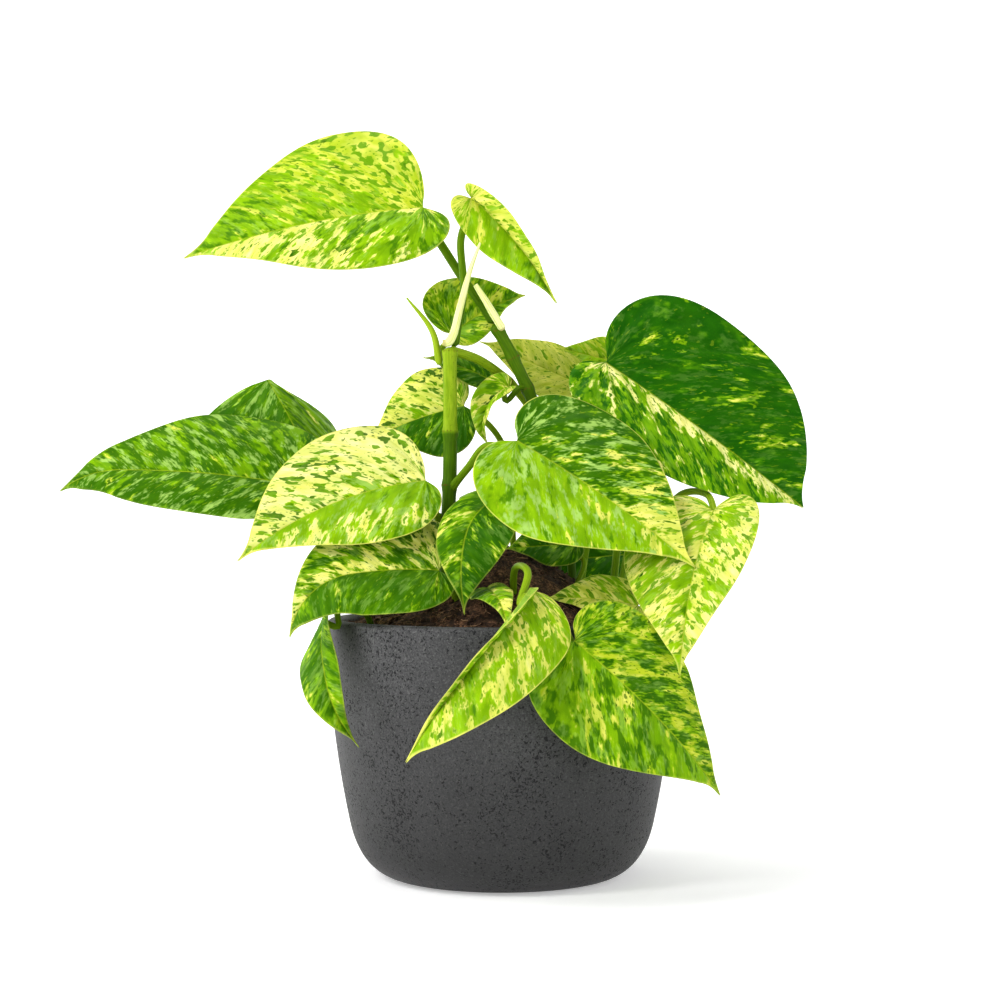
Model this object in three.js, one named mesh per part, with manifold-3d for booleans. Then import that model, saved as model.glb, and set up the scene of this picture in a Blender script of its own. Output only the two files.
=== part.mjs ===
// A potted pothos plant: a cast pot, its soil, three vines, and variegated leaves on their stalks.
// Millimetres, +Z up. The origin is the centre of the pot's base, on the surface that it stands on.
// The plant's front looks towards -Y, and its right-hand side is +X.

import * as THREE from 'three';
import { mergeVertices } from 'three/addons/utils/BufferGeometryUtils.js';
import Module from 'manifold-3d';

const wasm = await Module();
wasm.setup();

// ---- Driving dimensions -------------------------------------------------------------------------

const POT_RADIUS = 72.5;          // outside, at the widest place under the lip
const POT_HEIGHT = 107;
const POT_WALL = 5.5;
const POT_FLOOR = 8;
const POT_BASE_RADIUS = 41;       // the flat that it stands on
const POT_CORNER_RADIUS = 63.6;   // where the wall turns into the round lower corner
const POT_CORNER_HEIGHT = 25;
const POT_FOOT_REACH = 54;        // where the base begins to lift off
const POT_BULGE = { reach: 61, height: 11 };    // how full the round lower corner is
const POT_SHOULDER = { reach: 69, height: 50 };  // how the wall comes up to its full width
const POT_LIP_BEND = 80;          // from this height the wall is upright
const LIP_ROUND = 1.3;            // the lip's rounded edges
const LIP_BEVEL = 0.4;            // how far they lean in at half of that
const POT_SIDES = 40;
const WALL_STEPS = 4;

const SOIL_EDGE_HEIGHT = 103;     // the soil's top, at the wall
const SOIL_RISE = 31;             // how far the root ball stands up in the middle
const SOIL_SIDES = 24;
const SOIL_STEPS = 5;

const GAP = 0.3;                  // the clearance between pieces that touch
const SOIL_CLEARANCE = 3 * GAP;   // the soil has fewer sides than the pot, so its corners need more room
const LEAF_THICKNESS = 0.7;
const LEAF_ROWS = 10;             // side veins from the base to the tip
const LEAF_COLUMNS = 2;           // steps from the midrib to the margin
const MIDRIB_STEPS = 32;
const LOBE_DEPTH = 0.14;          // how far the heart's lobes reach back past the seat, in lengths
const WIDEST = 0.26;              // where the blade is widest, in lengths from the seat
const TIP_WIDTH = 0.025;          // in half widths
const NOTCH_WIDTH = 0.06;

const STEM_STEP = 14;             // the length of a stem's straight pieces
const LEAST_STEPS = 3;            // a short stem's
const STALK_SIDES = 6;
const VINE_SIDES = 8;
const SHEATH_SIDES = 8;
const SHEATH_STEPS = 6;
const STALK_BEND = 6;             // a stalk comes up under its blade from this far below
const STALK_END = 1;              // and ends this far below the blade's middle
const STALK_REACH = 2.5;          // and this far along the midrib

const COLOURS = {
  pot: 0x3b3c3f,
  soil: 0x4a3020,
  vine: 0x7d9a2e,
  stalk: 0x8fae3a,
  sheath: 0xd8e29a,
};
const ROUGHNESS = { pot: 0.75, soil: 1, stem: 0.45, sheath: 0.6, leaf: 0.35 };

// ---- Small helpers ------------------------------------------------------------------------------

const SAME_PLACE = 1e-3;
const radians = THREE.MathUtils.degToRad;
const vector = (point) => new THREE.Vector3(...point);

// The value at s (0 to 1) of a list of values that are spread evenly over that range.
function along(values, s) {
  const place = s * (values.length - 1);
  const first = Math.min(Math.floor(place), values.length - 2);
  return THREE.MathUtils.lerp(values[first], values[first + 1], place - first);
}

// A geometry as a solid that can be cut: its faces share their corners.
function solidFrom(geometry) {
  const bare = geometry.clone();
  bare.deleteAttribute('normal');
  bare.deleteAttribute('uv');
  const merged = mergeVertices(bare, SAME_PLACE);
  const vertProperties = new Float32Array(merged.attributes.position.array);
  const triVerts = new Uint32Array(merged.index.array);
  return new wasm.Manifold(new wasm.Mesh({ numProp: 3, vertProperties, triVerts }));
}

function geometryFrom(solid) {
  const mesh = solid.getMesh();
  const geometry = new THREE.BufferGeometry();
  geometry.setAttribute('position', new THREE.BufferAttribute(mesh.vertProperties, 3));
  geometry.setIndex(new THREE.BufferAttribute(mesh.triVerts, 1));
  geometry.computeVertexNormals();
  return geometry;
}

// What is left of a piece after its neighbours are cut out of it, without any loose crumb.
function cutBy(solid, neighbours) {
  const rest = neighbours.reduce((left, neighbour) => left.subtract(neighbour), solid);
  const bodies = rest.decompose();
  return bodies.sort((a, b) => b.volume() - a.volume())[0];
}

// A round stem of one thickness along a smooth route.
function stem(route, radius, sides) {
  const path = new THREE.CatmullRomCurve3(route.map(vector), false, 'centripetal');
  const section = new THREE.Shape().absarc(0, 0, radius, 0, 2 * Math.PI);
  const steps = Math.max(LEAST_STEPS, Math.round(path.getLength() / STEM_STEP));
  const settings = { steps, extrudePath: path, curveSegments: sides / 2 };
  return new THREE.ExtrudeGeometry(section, settings);
}

// A stem that narrows to its end: a cone, bent to follow its route.
function taperedStem(route, radius, tipRadius) {
  const path = new THREE.CatmullRomCurve3(route.map(vector), false, 'centripetal');
  const cone = new THREE.CylinderGeometry(tipRadius, radius, 1, SHEATH_SIDES, SHEATH_STEPS);
  const frames = path.computeFrenetFrames(SHEATH_STEPS, false);
  const position = cone.attributes.position;
  for (let i = 0; i < position.count; i += 1) {
    const share = position.getY(i) + 0.5;
    const step = Math.round(share * SHEATH_STEPS);
    const point = path.getPointAt(share);
    point.addScaledVector(frames.normals[step], -position.getX(i));
    point.addScaledVector(frames.binormals[step], position.getZ(i));
    position.setXYZ(i, point.x, point.y, point.z);
  }
  return cone;
}

// ---- Pot and soil -------------------------------------------------------------------------------

const LATHE_TO_Z = new THREE.Matrix4().makeRotationX(Math.PI / 2);

// A profile of [radius, height] points, turned about the upright axis.
function turned(profile, sides) {
  const points = profile.map(([radius, height]) => new THREE.Vector2(radius, height));
  return new THREE.LatheGeometry(points, sides).applyMatrix4(LATHE_TO_Z);
}

// Points on a bend that leaves its start towards one handle and comes in to its end from the other.
function bend(start, handle, otherHandle, end, steps) {
  const corners = [start, handle, otherHandle, end].map(([x, y]) => new THREE.Vector2(x, y));
  const curve = new THREE.CubicBezierCurve(...corners);
  return curve.getPoints(steps).map((point) => [point.x, point.y]);
}

// The outside of the wall, from the flat base up to the lip; inset makes the inner face from it.
function wallProfile(inset, bottom) {
  const base = POT_BASE_RADIUS - inset;
  const corner = POT_CORNER_RADIUS - inset;
  const brim = POT_RADIUS - inset;
  const turn = [corner, POT_CORNER_HEIGHT];
  const foot = [POT_FOOT_REACH - inset, bottom];
  const bulge = [POT_BULGE.reach - inset, POT_BULGE.height + bottom / 2];
  const shoulder = [POT_SHOULDER.reach - inset, POT_SHOULDER.height];
  const low = bend([base, bottom], foot, bulge, turn, WALL_STEPS);
  const high = bend(turn, shoulder, [brim, POT_LIP_BEND], [brim, POT_HEIGHT - 2 * LIP_ROUND], WALL_STEPS);
  return [...low, ...high.slice(1)];
}

// One wall from the middle of the underside, out and up, over the lip, and down the inside again.
function makePot() {
  const outside = wallProfile(0, 0);
  const inside = wallProfile(POT_WALL, POT_FLOOR).reverse();
  const lip = [
    [POT_RADIUS - LIP_BEVEL, POT_HEIGHT - LIP_ROUND / 2],
    [POT_RADIUS - LIP_ROUND, POT_HEIGHT],
    [POT_RADIUS - POT_WALL + LIP_ROUND, POT_HEIGHT],
    [POT_RADIUS - POT_WALL + LIP_BEVEL, POT_HEIGHT - LIP_ROUND / 2],
  ];
  return turned([[0, 0], ...outside, ...lip, ...inside, [0, POT_FLOOR]], POT_SIDES);
}

// The peat fills the pot, stands up in the middle as a root ball, and is open where the stems grow in it.
function makeSoil(stems) {
  const inset = POT_WALL + SOIL_CLEARANCE;
  const side = wallProfile(inset, POT_FLOOR + GAP).filter(([, height]) => height < SOIL_EDGE_HEIGHT);
  const top = [];
  for (let step = SOIL_STEPS; step >= 0; step -= 1) {
    const share = step / SOIL_STEPS;
    const swell = 0.5 * (1 + Math.cos(Math.PI * share));
    top.push([(POT_RADIUS - inset) * share, SOIL_EDGE_HEIGHT + SOIL_RISE * swell]);
  }
  const fill = solidFrom(turned([[0, POT_FLOOR + GAP], ...side, ...top], SOIL_SIDES));
  return cutBy(fill, stems);
}

// ---- Vines and sheaths --------------------------------------------------------------------------

const VINES = {
  vine_left: {
    radius: 2.9,
    route: [[-22, -12, 84], [-23, -12, 130], [-21.5, -10.5, 165], [-21.5, -9, 219]],
  },
  vine_right: {
    radius: 2.6,
    route: [[24, 6, 84], [21, 8, 150], [14, 10, 194], [5, 8, 215], [-3, 6, 230]],
  },
  vine_crossing: {
    radius: 1.9,
    route: [[32, 18, 84], [27, 18, 150], [15, 17, 190], [4, 15, 205], [-8, 8, 214], [-21.5, -9, 218]],
    carrier: 'vine_left',
  },
};

const SHEATHS = {
  sheath_left: {
    radius: 2.7,
    tip: 0.5,
    route: [[-21, -9.5, 220.2], [-17, -12, 236], [-13, -11.5, 251], [-9, -10.5, 262]],
  },
  sheath_right: {
    radius: 1.6,
    tip: 0.9,
    route: [[0.5, 2.2, 227], [-5, 1.6, 236], [-11, 2.2, 246]],
  },
  sheath_spike: {
    radius: 1.5,
    tip: 0.3,
    route: [[-25.8, -8, 212], [-29, -6, 226], [-39.5, -3, 240]],
  },
};

// ---- Leaves -------------------------------------------------------------------------------------
// seat       where the blade meets its stalk
// bearing    which way the midrib runs, seen from above: 0 right, 90 back, 180 left, 270 front
// rise       how steeply it climbs (+) or falls (-), in degrees, from its seat to its tip
// roll       how far the blade leans to its own right-hand side
// widths     the left and right halves' widths, seen from the seat with the upper face up
// fold, curl how far each half is raised at the midrib, and how far it bends down again to its margin
// unfold     how much of a half's fold is gone at the tip
// full       how much of each half stays wide on its way to the tip: 0 is a plain heart, 1 a full one
// lobe       how much of a lobe each half has behind the seat: 1 is a plain heart
// stalk      what carries it, its radius, and its route up to the seat

// A leaf that says nothing else has these.
const USUAL = { roll: [0, 0], fold: [12, 12], unfold: [0, 0], curl: [25, 25], full: [0, 0], lobe: [1, 1] };

const LEAVES = {
  top_left: {
    seat: [-33, 6, 279],
    length: 101,
    bearing: [184, 178],
    rise: [-5, -19],
    roll: [-58, -58],
    widths: [29, 46],
    full: [0, 0.05],
    lobe: [1.15, 0.2],
    colour: 0xa9c23c,
    stalk: { from: 'vine_right', radius: 2, route: [[-3, 6, 230.4], [-17, 7, 250], [-28, 10, 267]] },
  },
  top_right: {
    seat: [-13, 0, 282],
    length: 58,
    bearing: [-10, -30],
    rise: [-40, -60],
    roll: [58, 58],
    widths: [8.5, 15],
    fold: [75, 15],
    colour: 0x8fbf2e,
    stalk: { from: 'vine_left', radius: 1.7, route: [[-20, -5, 219.6], [-16, -2, 243], [-17, 2, 266]] },
  },
  upper_centre: {
    seat: [-21, 14, 226],
    length: 36,
    bearing: [25, 0],
    rise: [42, 16],
    roll: [70, 70],
    widths: [22, 12],
    fold: [10, 40],
    colour: 0x7fae2c,
    stalk: { from: 'vine_left', radius: 1.4, route: [[-21.5, -9, 213], [-24, 4, 214], [-26, 12, 219]] },
  },
  far_left: {
    seat: [-84, -4, 162],
    length: 100,
    bearing: [178, 182],
    rise: [10, 7, 3, 0, -36],
    roll: [-50, -50],
    widths: [22, 34],
    full: [0.8, 0],
    lobe: [0.2, 1],
    colour: 0x4e9a1e,
    stalk: { from: 'vine_left', radius: 1.5, route: [[-22.5, -11.5, 148], [-50, -4, 155], [-74, 2, 157]] },
  },
  left_behind: {
    seat: [-101.5, 36, 208.3],
    length: 70,
    bearing: [-40, -40],
    rise: [-50, -60],
    roll: [27, 27],
    widths: [40, 48],
    fold: [-36, -24],
    curl: [12, 10],
    lobe: [-0.7, 0.4],
    full: [0, -0.5],
    colour: 0x2f7a16,
    stalk: {
      from: 'soil',
      radius: 1.1,
      route: [[-38, 12, 90], [-52, 22, 138], [-83, 54, 172], [-98, 52, 198]],
    },
  },
  left_cream: {
    seat: [-31, -22, 164],
    length: 84,
    bearing: [196, 204],
    rise: [-6, -38],
    roll: [-48, -48],
    widths: [27, 36],
    lobe: [0.6, 0.2],
    colour: 0xc9d35a,
    stalk: { from: 'vine_left', radius: 1.6, route: [[-23, -12, 140], [-27, -14, 150], [-29, -17, 158]] },
  },
  centre_heart: {
    seat: [6, -30, 180],
    length: 89,
    bearing: [-20, -26],
    rise: [-29, -38],
    roll: [46, 46],
    widths: [36, 37],
    colour: 0x77b32a,
    stalk: { from: 'vine_left', radius: 1.7, route: [[-21.5, -11, 160], [-14, -18, 169], [-6, -22, 178]] },
  },
  right_large: {
    seat: [44, 12, 214],
    length: 101,
    bearing: [-8, -12],
    rise: [-34, -39],
    roll: [52, 52],
    widths: [51, 42],
    fold: [16, 25],
    curl: [15, 20],
    full: [0.7, 0.6],
    colour: 0x2d7f1a,
    stalk: { from: 'soil', radius: 1.8, route: [[44, 16, 90], [50, 24, 150], [47, 24, 195]] },
  },
  right_cream: {
    seat: [84.5, -37, 152],
    length: 76,
    bearing: [-116, -110],
    rise: [-38, -74],
    widths: [24, 31],
    fold: [22, 15],
    colour: 0xa5c83a,
    stalk: { from: 'soil', radius: 1.6, route: [[52, 8, 90], [62, 6, 138], [74, -4, 158], [84, -17, 158]] },
  },
  front_right: {
    seat: [27.5, -77.5, 102.5],
    length: 82,
    bearing: [-20, 30],
    rise: [-38, -46, -52],
    roll: [48, 58, 60],
    widths: [30, 33],
    fold: [5, 0],
    curl: [15, 25],
    full: [0.15, 0],
    colour: 0x5fa324,
    stalk: {
      from: 'soil',
      radius: 1.6,
      route: [[10, -44, 90], [13, -56, 112], [18, -66, 113.5], [22, -71.5, 110.5]],
    },
  },
  front_drooping: {
    seat: [11, -73, 121.5],
    length: 90,
    bearing: [-108, -170],
    rise: [-24, -60],
    roll: [-42, -42],
    widths: [25, 7],
    fold: [12, 125],
    unfold: [0, 0.4],
    lobe: [0.3, 0.2],
    full: [0.7, 0],
    colour: 0xb4cc48,
    stalk: {
      from: 'soil',
      radius: 1.6,
      route: [[4, -22, 90], [4.5, -32, 116], [5, -42, 128], [8, -54, 130], [10, -65, 127]],
    },
  },
  soil_right: {
    seat: [55, -28, 113.5],
    length: 38,
    bearing: [195, 190],
    rise: [12, -2],
    roll: [-45, -45],
    widths: [11, 14],
    colour: 0xc6cf5f,
    stalk: { from: 'soil', radius: 1.3, route: [[55, -19, 90], [56, -21, 105]] },
  },
  centre_low: {
    seat: [-2, -35, 157],
    length: 56,
    bearing: [206, 296],
    rise: [-25, -64, -66],
    roll: [-20, -10],
    widths: [20, 13],
    fold: [15, 10],
    colour: 0x3f931d,
    stalk: { from: 'soil', radius: 1.4, route: [[-5, -8, 90], [-3, -8, 135], [-1, -20, 150]] },
  },
  front_left: {
    seat: [-25, -40, 128],
    length: 72,
    bearing: [186, 205],
    rise: [4, -8, -80],
    roll: [-50, -50],
    widths: [22, 30],
    full: [0.6, -0.5],
    colour: 0x8fb83a,
    stalk: { from: 'soil', radius: 1.5, route: [[-18, -30, 90], [-18, -32, 112], [-21, -34, 122]] },
  },
  soil_front: {
    seat: [-6, -35, 121],
    length: 47,
    bearing: [-84, -70],
    rise: [0, -12, -70],
    widths: [8, 9],
    roll: [10, 10],
    fold: [12, 0],
    full: [0, -0.6],
    colour: 0x9cc140,
    stalk: { from: 'soil', radius: 1.3, route: [[-9, -24, 90], [-9, -26, 108], [-7, -30, 116]] },
  },
  hanging_left: {
    seat: [-71, -34, 109],
    length: 57,
    bearing: [-110, -50, 20],
    rise: [-50, -72, -50],
    roll: [62, 62],
    widths: [8, 13],
    colour: 0x4f9a22,
    stalk: { from: 'soil', radius: 1.4, route: [[-50, -22, 92], [-56, -26, 111], [-66, -30, 113]] },
  },
  back_pale: {
    seat: [39, 52, 205],
    length: 52,
    bearing: [190, 182],
    rise: [24, 22],
    roll: [-50, -50],
    widths: [19, 19],
    colour: 0xcfd37a,
    stalk: { from: 'soil', radius: 1.5, route: [[30, 32, 90], [40, 50, 155], [44, 58, 192]] },
  },
  back_right: {
    seat: [68, 57, 213],
    length: 46,
    bearing: [198, 192],
    rise: [12, 12],
    roll: [-50, -50],
    widths: [16, 16],
    colour: 0x86b634,
    stalk: {
      from: 'soil',
      radius: 1.6,
      route: [[46, 28, 90], [58, 42, 145], [68, 46, 164], [76, 52, 175], [78, 62, 196]],
    },
  },
  middle_left: {
    seat: [-16, 14, 196],
    length: 42,
    bearing: [180, 184],
    rise: [-12, -28],
    roll: [-58, -58],
    widths: [23, 23],
    colour: 0x8cae3c,
    stalk: { from: 'soil', radius: 1.4, route: [[6, 4, 90], [4, 6, 150], [0, 13, 180], [-11, 19, 192]] },
  },
  centre_hooked: {
    seat: [3, 5, 203],
    length: 28,
    bearing: [190, 184],
    rise: [-20, -70, -110],
    roll: [-35, -35],
    widths: [10, 9],
    fold: [40, 40],
    colour: 0x9dbd45,
    stalk: { from: 'vine_right', radius: 1.3, route: [[10.5, 9.3, 202], [8, 7, 203.5]] },
  },
  centre_dark: {
    seat: [-3, 21, 206],
    length: 32,
    bearing: [184, 178],
    rise: [30, 10],
    roll: [-40, -40],
    widths: [10, 10],
    colour: 0x2c7717,
    stalk: { from: 'vine_crossing', radius: 1.2, route: [[4, 15, 205], [2, 21, 202]] },
  },
  under_heart: {
    seat: [31, -7, 138],
    length: 30,
    bearing: [182, 190],
    rise: [-4, -4],
    roll: [-45, -45],
    widths: [12, 14],
    colour: 0x2f7a1a,
    stalk: { from: 'soil', radius: 1.2, route: [[26, -8, 90], [30, -7, 118], [34, -5, 131]] },
  },
  rear_right: {
    seat: [64, 64, 132],
    length: 55,
    bearing: [184, 180],
    rise: [-2, -12],
    roll: [-50, -50],
    widths: [15, 16],
    colour: 0x2f7a1a,
    stalk: {
      from: 'soil',
      radius: 1.3,
      route: [[42, 40, 92], [44, 43, 112], [54, 58, 118], [64, 70, 123]],
    },
  },
  rear_left: {
    seat: [-40, 38, 130],
    length: 60,
    bearing: [132, 128],
    rise: [26, -12],
    widths: [23, 23],
    colour: 0x5d9f26,
    stalk: { from: 'soil', radius: 1.4, route: [[-30, 30, 90], [-33, 33, 116], [-37, 36, 125]] },
  },
  rear_low: {
    seat: [8, 50, 119],
    length: 74,
    bearing: [82, 76],
    rise: [12, -64],
    widths: [27, 27],
    colour: 0x74aa2c,
    stalk: { from: 'soil', radius: 1.5, route: [[6, 36, 90], [7, 40, 108], [7, 45, 114]] },
  },
  rear_high: {
    seat: [8, 48, 154],
    length: 74,
    bearing: [86, 78],
    rise: [18, -22],
    widths: [29, 29],
    colour: 0x4c9420,
    stalk: { from: 'soil', radius: 1.6, route: [[12, 20, 90], [12, 32, 125], [9, 42, 148]] },
  },
};
for (const leaf of Object.values(LEAVES)) Object.assign(leaf, { ...USUAL, ...leaf });

// The way a leaf's midrib points at s (0 at the seat, 1 at the tip), its upper side and its right side.
function headingAt(leaf, s) {
  const bearing = radians(along(leaf.bearing, s));
  const rise = radians(along(leaf.rise, s));
  const roll = radians(along(leaf.roll, s));
  const level = vector([Math.cos(bearing), Math.sin(bearing), 0]);
  const forward = level.clone().multiplyScalar(Math.cos(rise)).setZ(Math.sin(rise));
  const flatUp = level.clone().multiplyScalar(-Math.sin(rise)).setZ(Math.cos(rise));
  const flatRight = vector([level.y, -level.x, 0]);
  const up = flatUp.clone().multiplyScalar(Math.cos(roll)).addScaledVector(flatRight, Math.sin(roll));
  const right = flatRight.multiplyScalar(Math.cos(roll)).addScaledVector(flatUp, -Math.sin(roll));
  return { forward, up, right };
}

// The midrib as points, each one short step further along the way that it points.
function midribOf(leaf) {
  const points = [vector(leaf.seat)];
  for (let i = 0; i < MIDRIB_STEPS; i += 1) {
    const { forward } = headingAt(leaf, (i + 0.5) / MIDRIB_STEPS);
    points.push(points[i].clone().addScaledVector(forward, leaf.length / MIDRIB_STEPS));
  }
  return points;
}

// Half of a heart, in two bends that meet where it is widest: x in lengths along the midrib, and y in half
// widths out from it. share is 0 at the notch by the stalk and 1 at the tip.
const LOBE_SHARE = 0.4;
const LOBE_START = 0.15;                          // how soon a lobe swells out beside the notch
const SWELL = { reach: 0.58, more: 0.2 };         // how long it stays wide, and how much longer if full
const TAPER = { reach: 0.8, width: 0.2 };         // where it runs out to the tip
const FULL_TAPER = { reach: 0.13, width: 0.35 };  // and how far a full half moves that place

function outlineAt(share, full, lobe) {
  const inLobe = share < LOBE_SHARE;
  const part = inLobe ? share / LOBE_SHARE : (share - LOBE_SHARE) / (1 - LOBE_SHARE);
  const back = -LOBE_DEPTH * lobe;
  const lobeBend = [[0, NOTCH_WIDTH], [back, LOBE_START], [back, 1], [WIDEST, 1]];
  const swell = [SWELL.reach + SWELL.more * full, 1];
  const taper = [TAPER.reach + FULL_TAPER.reach * full, TAPER.width + FULL_TAPER.width * full];
  const tipBend = [[WIDEST, 1], swell, taper, [1, TIP_WIDTH]];
  const corners = inLobe ? lobeBend : tipBend;
  const curve = new THREE.CubicBezierCurve(...corners.map(([x, y]) => new THREE.Vector2(x, y)));
  return curve.getPoint(part);
}

// A row of the blade follows a side vein: the rows start close together at the seat and slant forward.
const VEIN_START = 1.6;
const VEIN_SLANT = 1.2;

// A point of the blade, and the way that its upper face looks there.
// share runs from the base to the tip, and across from the midrib (0) to the margin (1 or -1).
function bladePoint(leaf, midrib, share, across) {
  const half = across < 0 ? 0 : 1;
  const side = across < 0 ? -1 : 1;
  const edge = outlineAt(share, leaf.full[half], leaf.lobe[half]);
  const start = share ** VEIN_START;
  const x = start + (edge.x - start) * Math.abs(across) ** VEIN_SLANT;
  const y = edge.y * Math.abs(across);
  const s = THREE.MathUtils.clamp(x, 0, 1);
  const place = s * MIDRIB_STEPS;
  const step = Math.min(Math.floor(place), MIDRIB_STEPS - 1);
  const point = midrib[step].clone().lerp(midrib[step + 1], place - step);
  const { forward, up, right } = headingAt(leaf, s);
  point.addScaledVector(forward, (x - s) * leaf.length);
  const fold = radians(leaf.fold[half] * (1 - leaf.unfold[half] * s));
  const curl = radians(leaf.curl[half]);
  const angle = fold - curl * y;
  const reach = leaf.widths[half] / curl;
  point.addScaledVector(right, side * reach * (Math.sin(fold) - Math.sin(angle)));
  point.addScaledVector(up, reach * (Math.cos(angle) - Math.cos(fold)));
  const face = up.clone().multiplyScalar(Math.cos(angle)).addScaledVector(right, -side * Math.sin(angle));
  return { point, face };
}

// The whole blade: an upper and a lower face with the leaf's thickness between them, joined at the margin.
function makeBlade(leaf) {
  const midrib = midribOf(leaf);
  const columns = 2 * LEAF_COLUMNS + 1;
  const upper = [];
  const lower = [];
  for (let row = 0; row <= LEAF_ROWS; row += 1) {
    for (let column = -LEAF_COLUMNS; column <= LEAF_COLUMNS; column += 1) {
      const { point, face } = bladePoint(leaf, midrib, row / LEAF_ROWS, column / LEAF_COLUMNS);
      upper.push(point.clone().addScaledVector(face, LEAF_THICKNESS / 2));
      lower.push(point.clone().addScaledVector(face, -LEAF_THICKNESS / 2));
    }
  }
  const count = upper.length;
  const triangles = [];
  const quad = (a, b, c, d) => triangles.push(a, b, c, a, c, d);
  for (let row = 0; row < LEAF_ROWS; row += 1) {
    for (let column = 0; column < columns - 1; column += 1) {
      const corner = row * columns + column;
      quad(corner, corner + 1, corner + columns + 1, corner + columns);
      quad(count + corner, count + corner + columns, count + corner + columns + 1, count + corner + 1);
    }
  }
  const margin = marginLoop(columns);
  margin.forEach((place, i) => {
    const next = margin[(i + 1) % margin.length];
    quad(place, count + place, count + next, next);
  });
  const geometry = new THREE.BufferGeometry().setFromPoints([...upper, ...lower]);
  geometry.setIndex(triangles);
  geometry.computeVertexNormals();
  return geometry;
}

// The grid's outer points, once round.
function marginLoop(columns) {
  const loop = [];
  for (let column = 0; column < columns - 1; column += 1) loop.push(column);
  for (let row = 0; row < LEAF_ROWS; row += 1) loop.push(row * columns + columns - 1);
  for (let column = columns - 1; column > 0; column -= 1) loop.push(LEAF_ROWS * columns + column);
  for (let row = LEAF_ROWS; row > 0; row -= 1) loop.push(row * columns);
  return loop;
}

// A stalk's route comes up square to the blade and ends close under the start of its midrib.
function stalkRoute(leaf) {
  const { forward, up } = headingAt(leaf, 0);
  const meeting = vector(leaf.seat).addScaledVector(forward, STALK_REACH);
  const below = meeting.clone().addScaledVector(up, -STALK_BEND);
  const end = meeting.clone().addScaledVector(up, -STALK_END);
  return [...leaf.stalk.route, below.toArray(), end.toArray()];
}

// ---- The whole plant ----------------------------------------------------------------------------

const plant = new THREE.Group();

function add(name, geometry, color, roughness) {
  const material = new THREE.MeshStandardMaterial({ color, roughness, metalness: 0 });
  const mesh = new THREE.Mesh(geometry, material);
  mesh.name = name;
  plant.add(mesh);
}

const grownVines = {};
for (const [name, { route, radius }] of Object.entries(VINES)) {
  grownVines[name] = solidFrom(stem(route, radius + GAP, VINE_SIDES));
}

const stalkOf = (leaf, extra) => solidFrom(stem(stalkRoute(leaf), leaf.stalk.radius + extra, STALK_SIDES));
const growsInSoil = (leaf) => leaf.stalk.from === 'soil';
const soilLeaves = Object.values(LEAVES).filter(growsInSoil);
const inSoil = [...Object.values(grownVines), ...soilLeaves.map((leaf) => stalkOf(leaf, GAP))];

add('pot', makePot(), COLOURS.pot, ROUGHNESS.pot);
add('soil', geometryFrom(makeSoil(inSoil)), COLOURS.soil, ROUGHNESS.soil);

for (const [name, { route, radius, carrier }] of Object.entries(VINES)) {
  const whole = solidFrom(stem(route, radius, VINE_SIDES));
  const seated = carrier ? cutBy(whole, [grownVines[carrier]]) : whole;
  add(name, geometryFrom(seated), COLOURS.vine, ROUGHNESS.stem);
}

for (const [name, { route, radius, tip }] of Object.entries(SHEATHS)) {
  add(name, taperedStem(route, radius, tip), COLOURS.sheath, ROUGHNESS.sheath);
}

for (const [name, leaf] of Object.entries(LEAVES)) {
  const whole = stalkOf(leaf, 0);
  const stalk = growsInSoil(leaf) ? whole : cutBy(whole, [grownVines[leaf.stalk.from]]);
  add(`stalk_${name}`, geometryFrom(stalk), COLOURS.stalk, ROUGHNESS.stem);
  add(`leaf_${name}`, makeBlade(leaf), leaf.colour, ROUGHNESS.leaf);
}

export default plant;
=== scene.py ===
# %% [markdown]
# # A potted pothos plant
# A cast stone planter with a young marbled pothos in it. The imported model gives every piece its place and
# size: the pot, the soil, three vines, the papery sheaths at their nodes, and a stalk and a blade for
# each leaf. Here each of them gets its real surface. Lengths are in millimetres, as a grower would
# measure them, and turned into metres where a mesh is made. Only the camera, the lamps and the floor are
# in metres.

# %% Load the frame
import math
import random

import bmesh
import bpy
import numpy as np
from mathutils import Matrix, Vector, noise


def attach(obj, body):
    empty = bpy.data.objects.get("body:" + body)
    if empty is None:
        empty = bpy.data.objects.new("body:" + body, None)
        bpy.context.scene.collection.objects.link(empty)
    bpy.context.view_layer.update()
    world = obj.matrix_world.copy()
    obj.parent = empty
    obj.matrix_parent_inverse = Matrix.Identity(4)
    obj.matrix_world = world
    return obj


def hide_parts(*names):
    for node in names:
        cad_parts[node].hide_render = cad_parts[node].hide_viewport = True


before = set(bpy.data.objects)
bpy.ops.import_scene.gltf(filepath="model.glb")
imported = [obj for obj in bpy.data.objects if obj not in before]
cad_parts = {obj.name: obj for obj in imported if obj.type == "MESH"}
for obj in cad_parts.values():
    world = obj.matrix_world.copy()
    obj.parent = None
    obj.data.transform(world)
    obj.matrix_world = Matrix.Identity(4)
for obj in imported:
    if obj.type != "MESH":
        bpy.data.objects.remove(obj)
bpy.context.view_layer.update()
MM = 0.001
print("nodes in the frame:", len(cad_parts))

# %% [markdown]
# ## The camera
# A long lens stands level with the middle of the plant, 0.9 m in front of the pot, so that the rim shows
# as a thin ellipse. It could be aimed with a constraint, but a plain turn of 90 degrees says exactly
# where it looks.

# %% Camera
CAMERA_PLACE = (-0.0008, -0.9, 0.156)
LENS, FILM_WIDTH = 77.7, 36  # millimetres

camera = bpy.data.objects.new("camera", bpy.data.cameras.new("camera"))
camera.location = CAMERA_PLACE
camera.rotation_euler = (math.radians(90), 0, 0)
camera.data.lens = LENS
camera.data.sensor_width = FILM_WIDTH
bpy.context.scene.collection.objects.link(camera)
bpy.context.scene.camera = camera
print("camera", tuple(camera.location))

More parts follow.
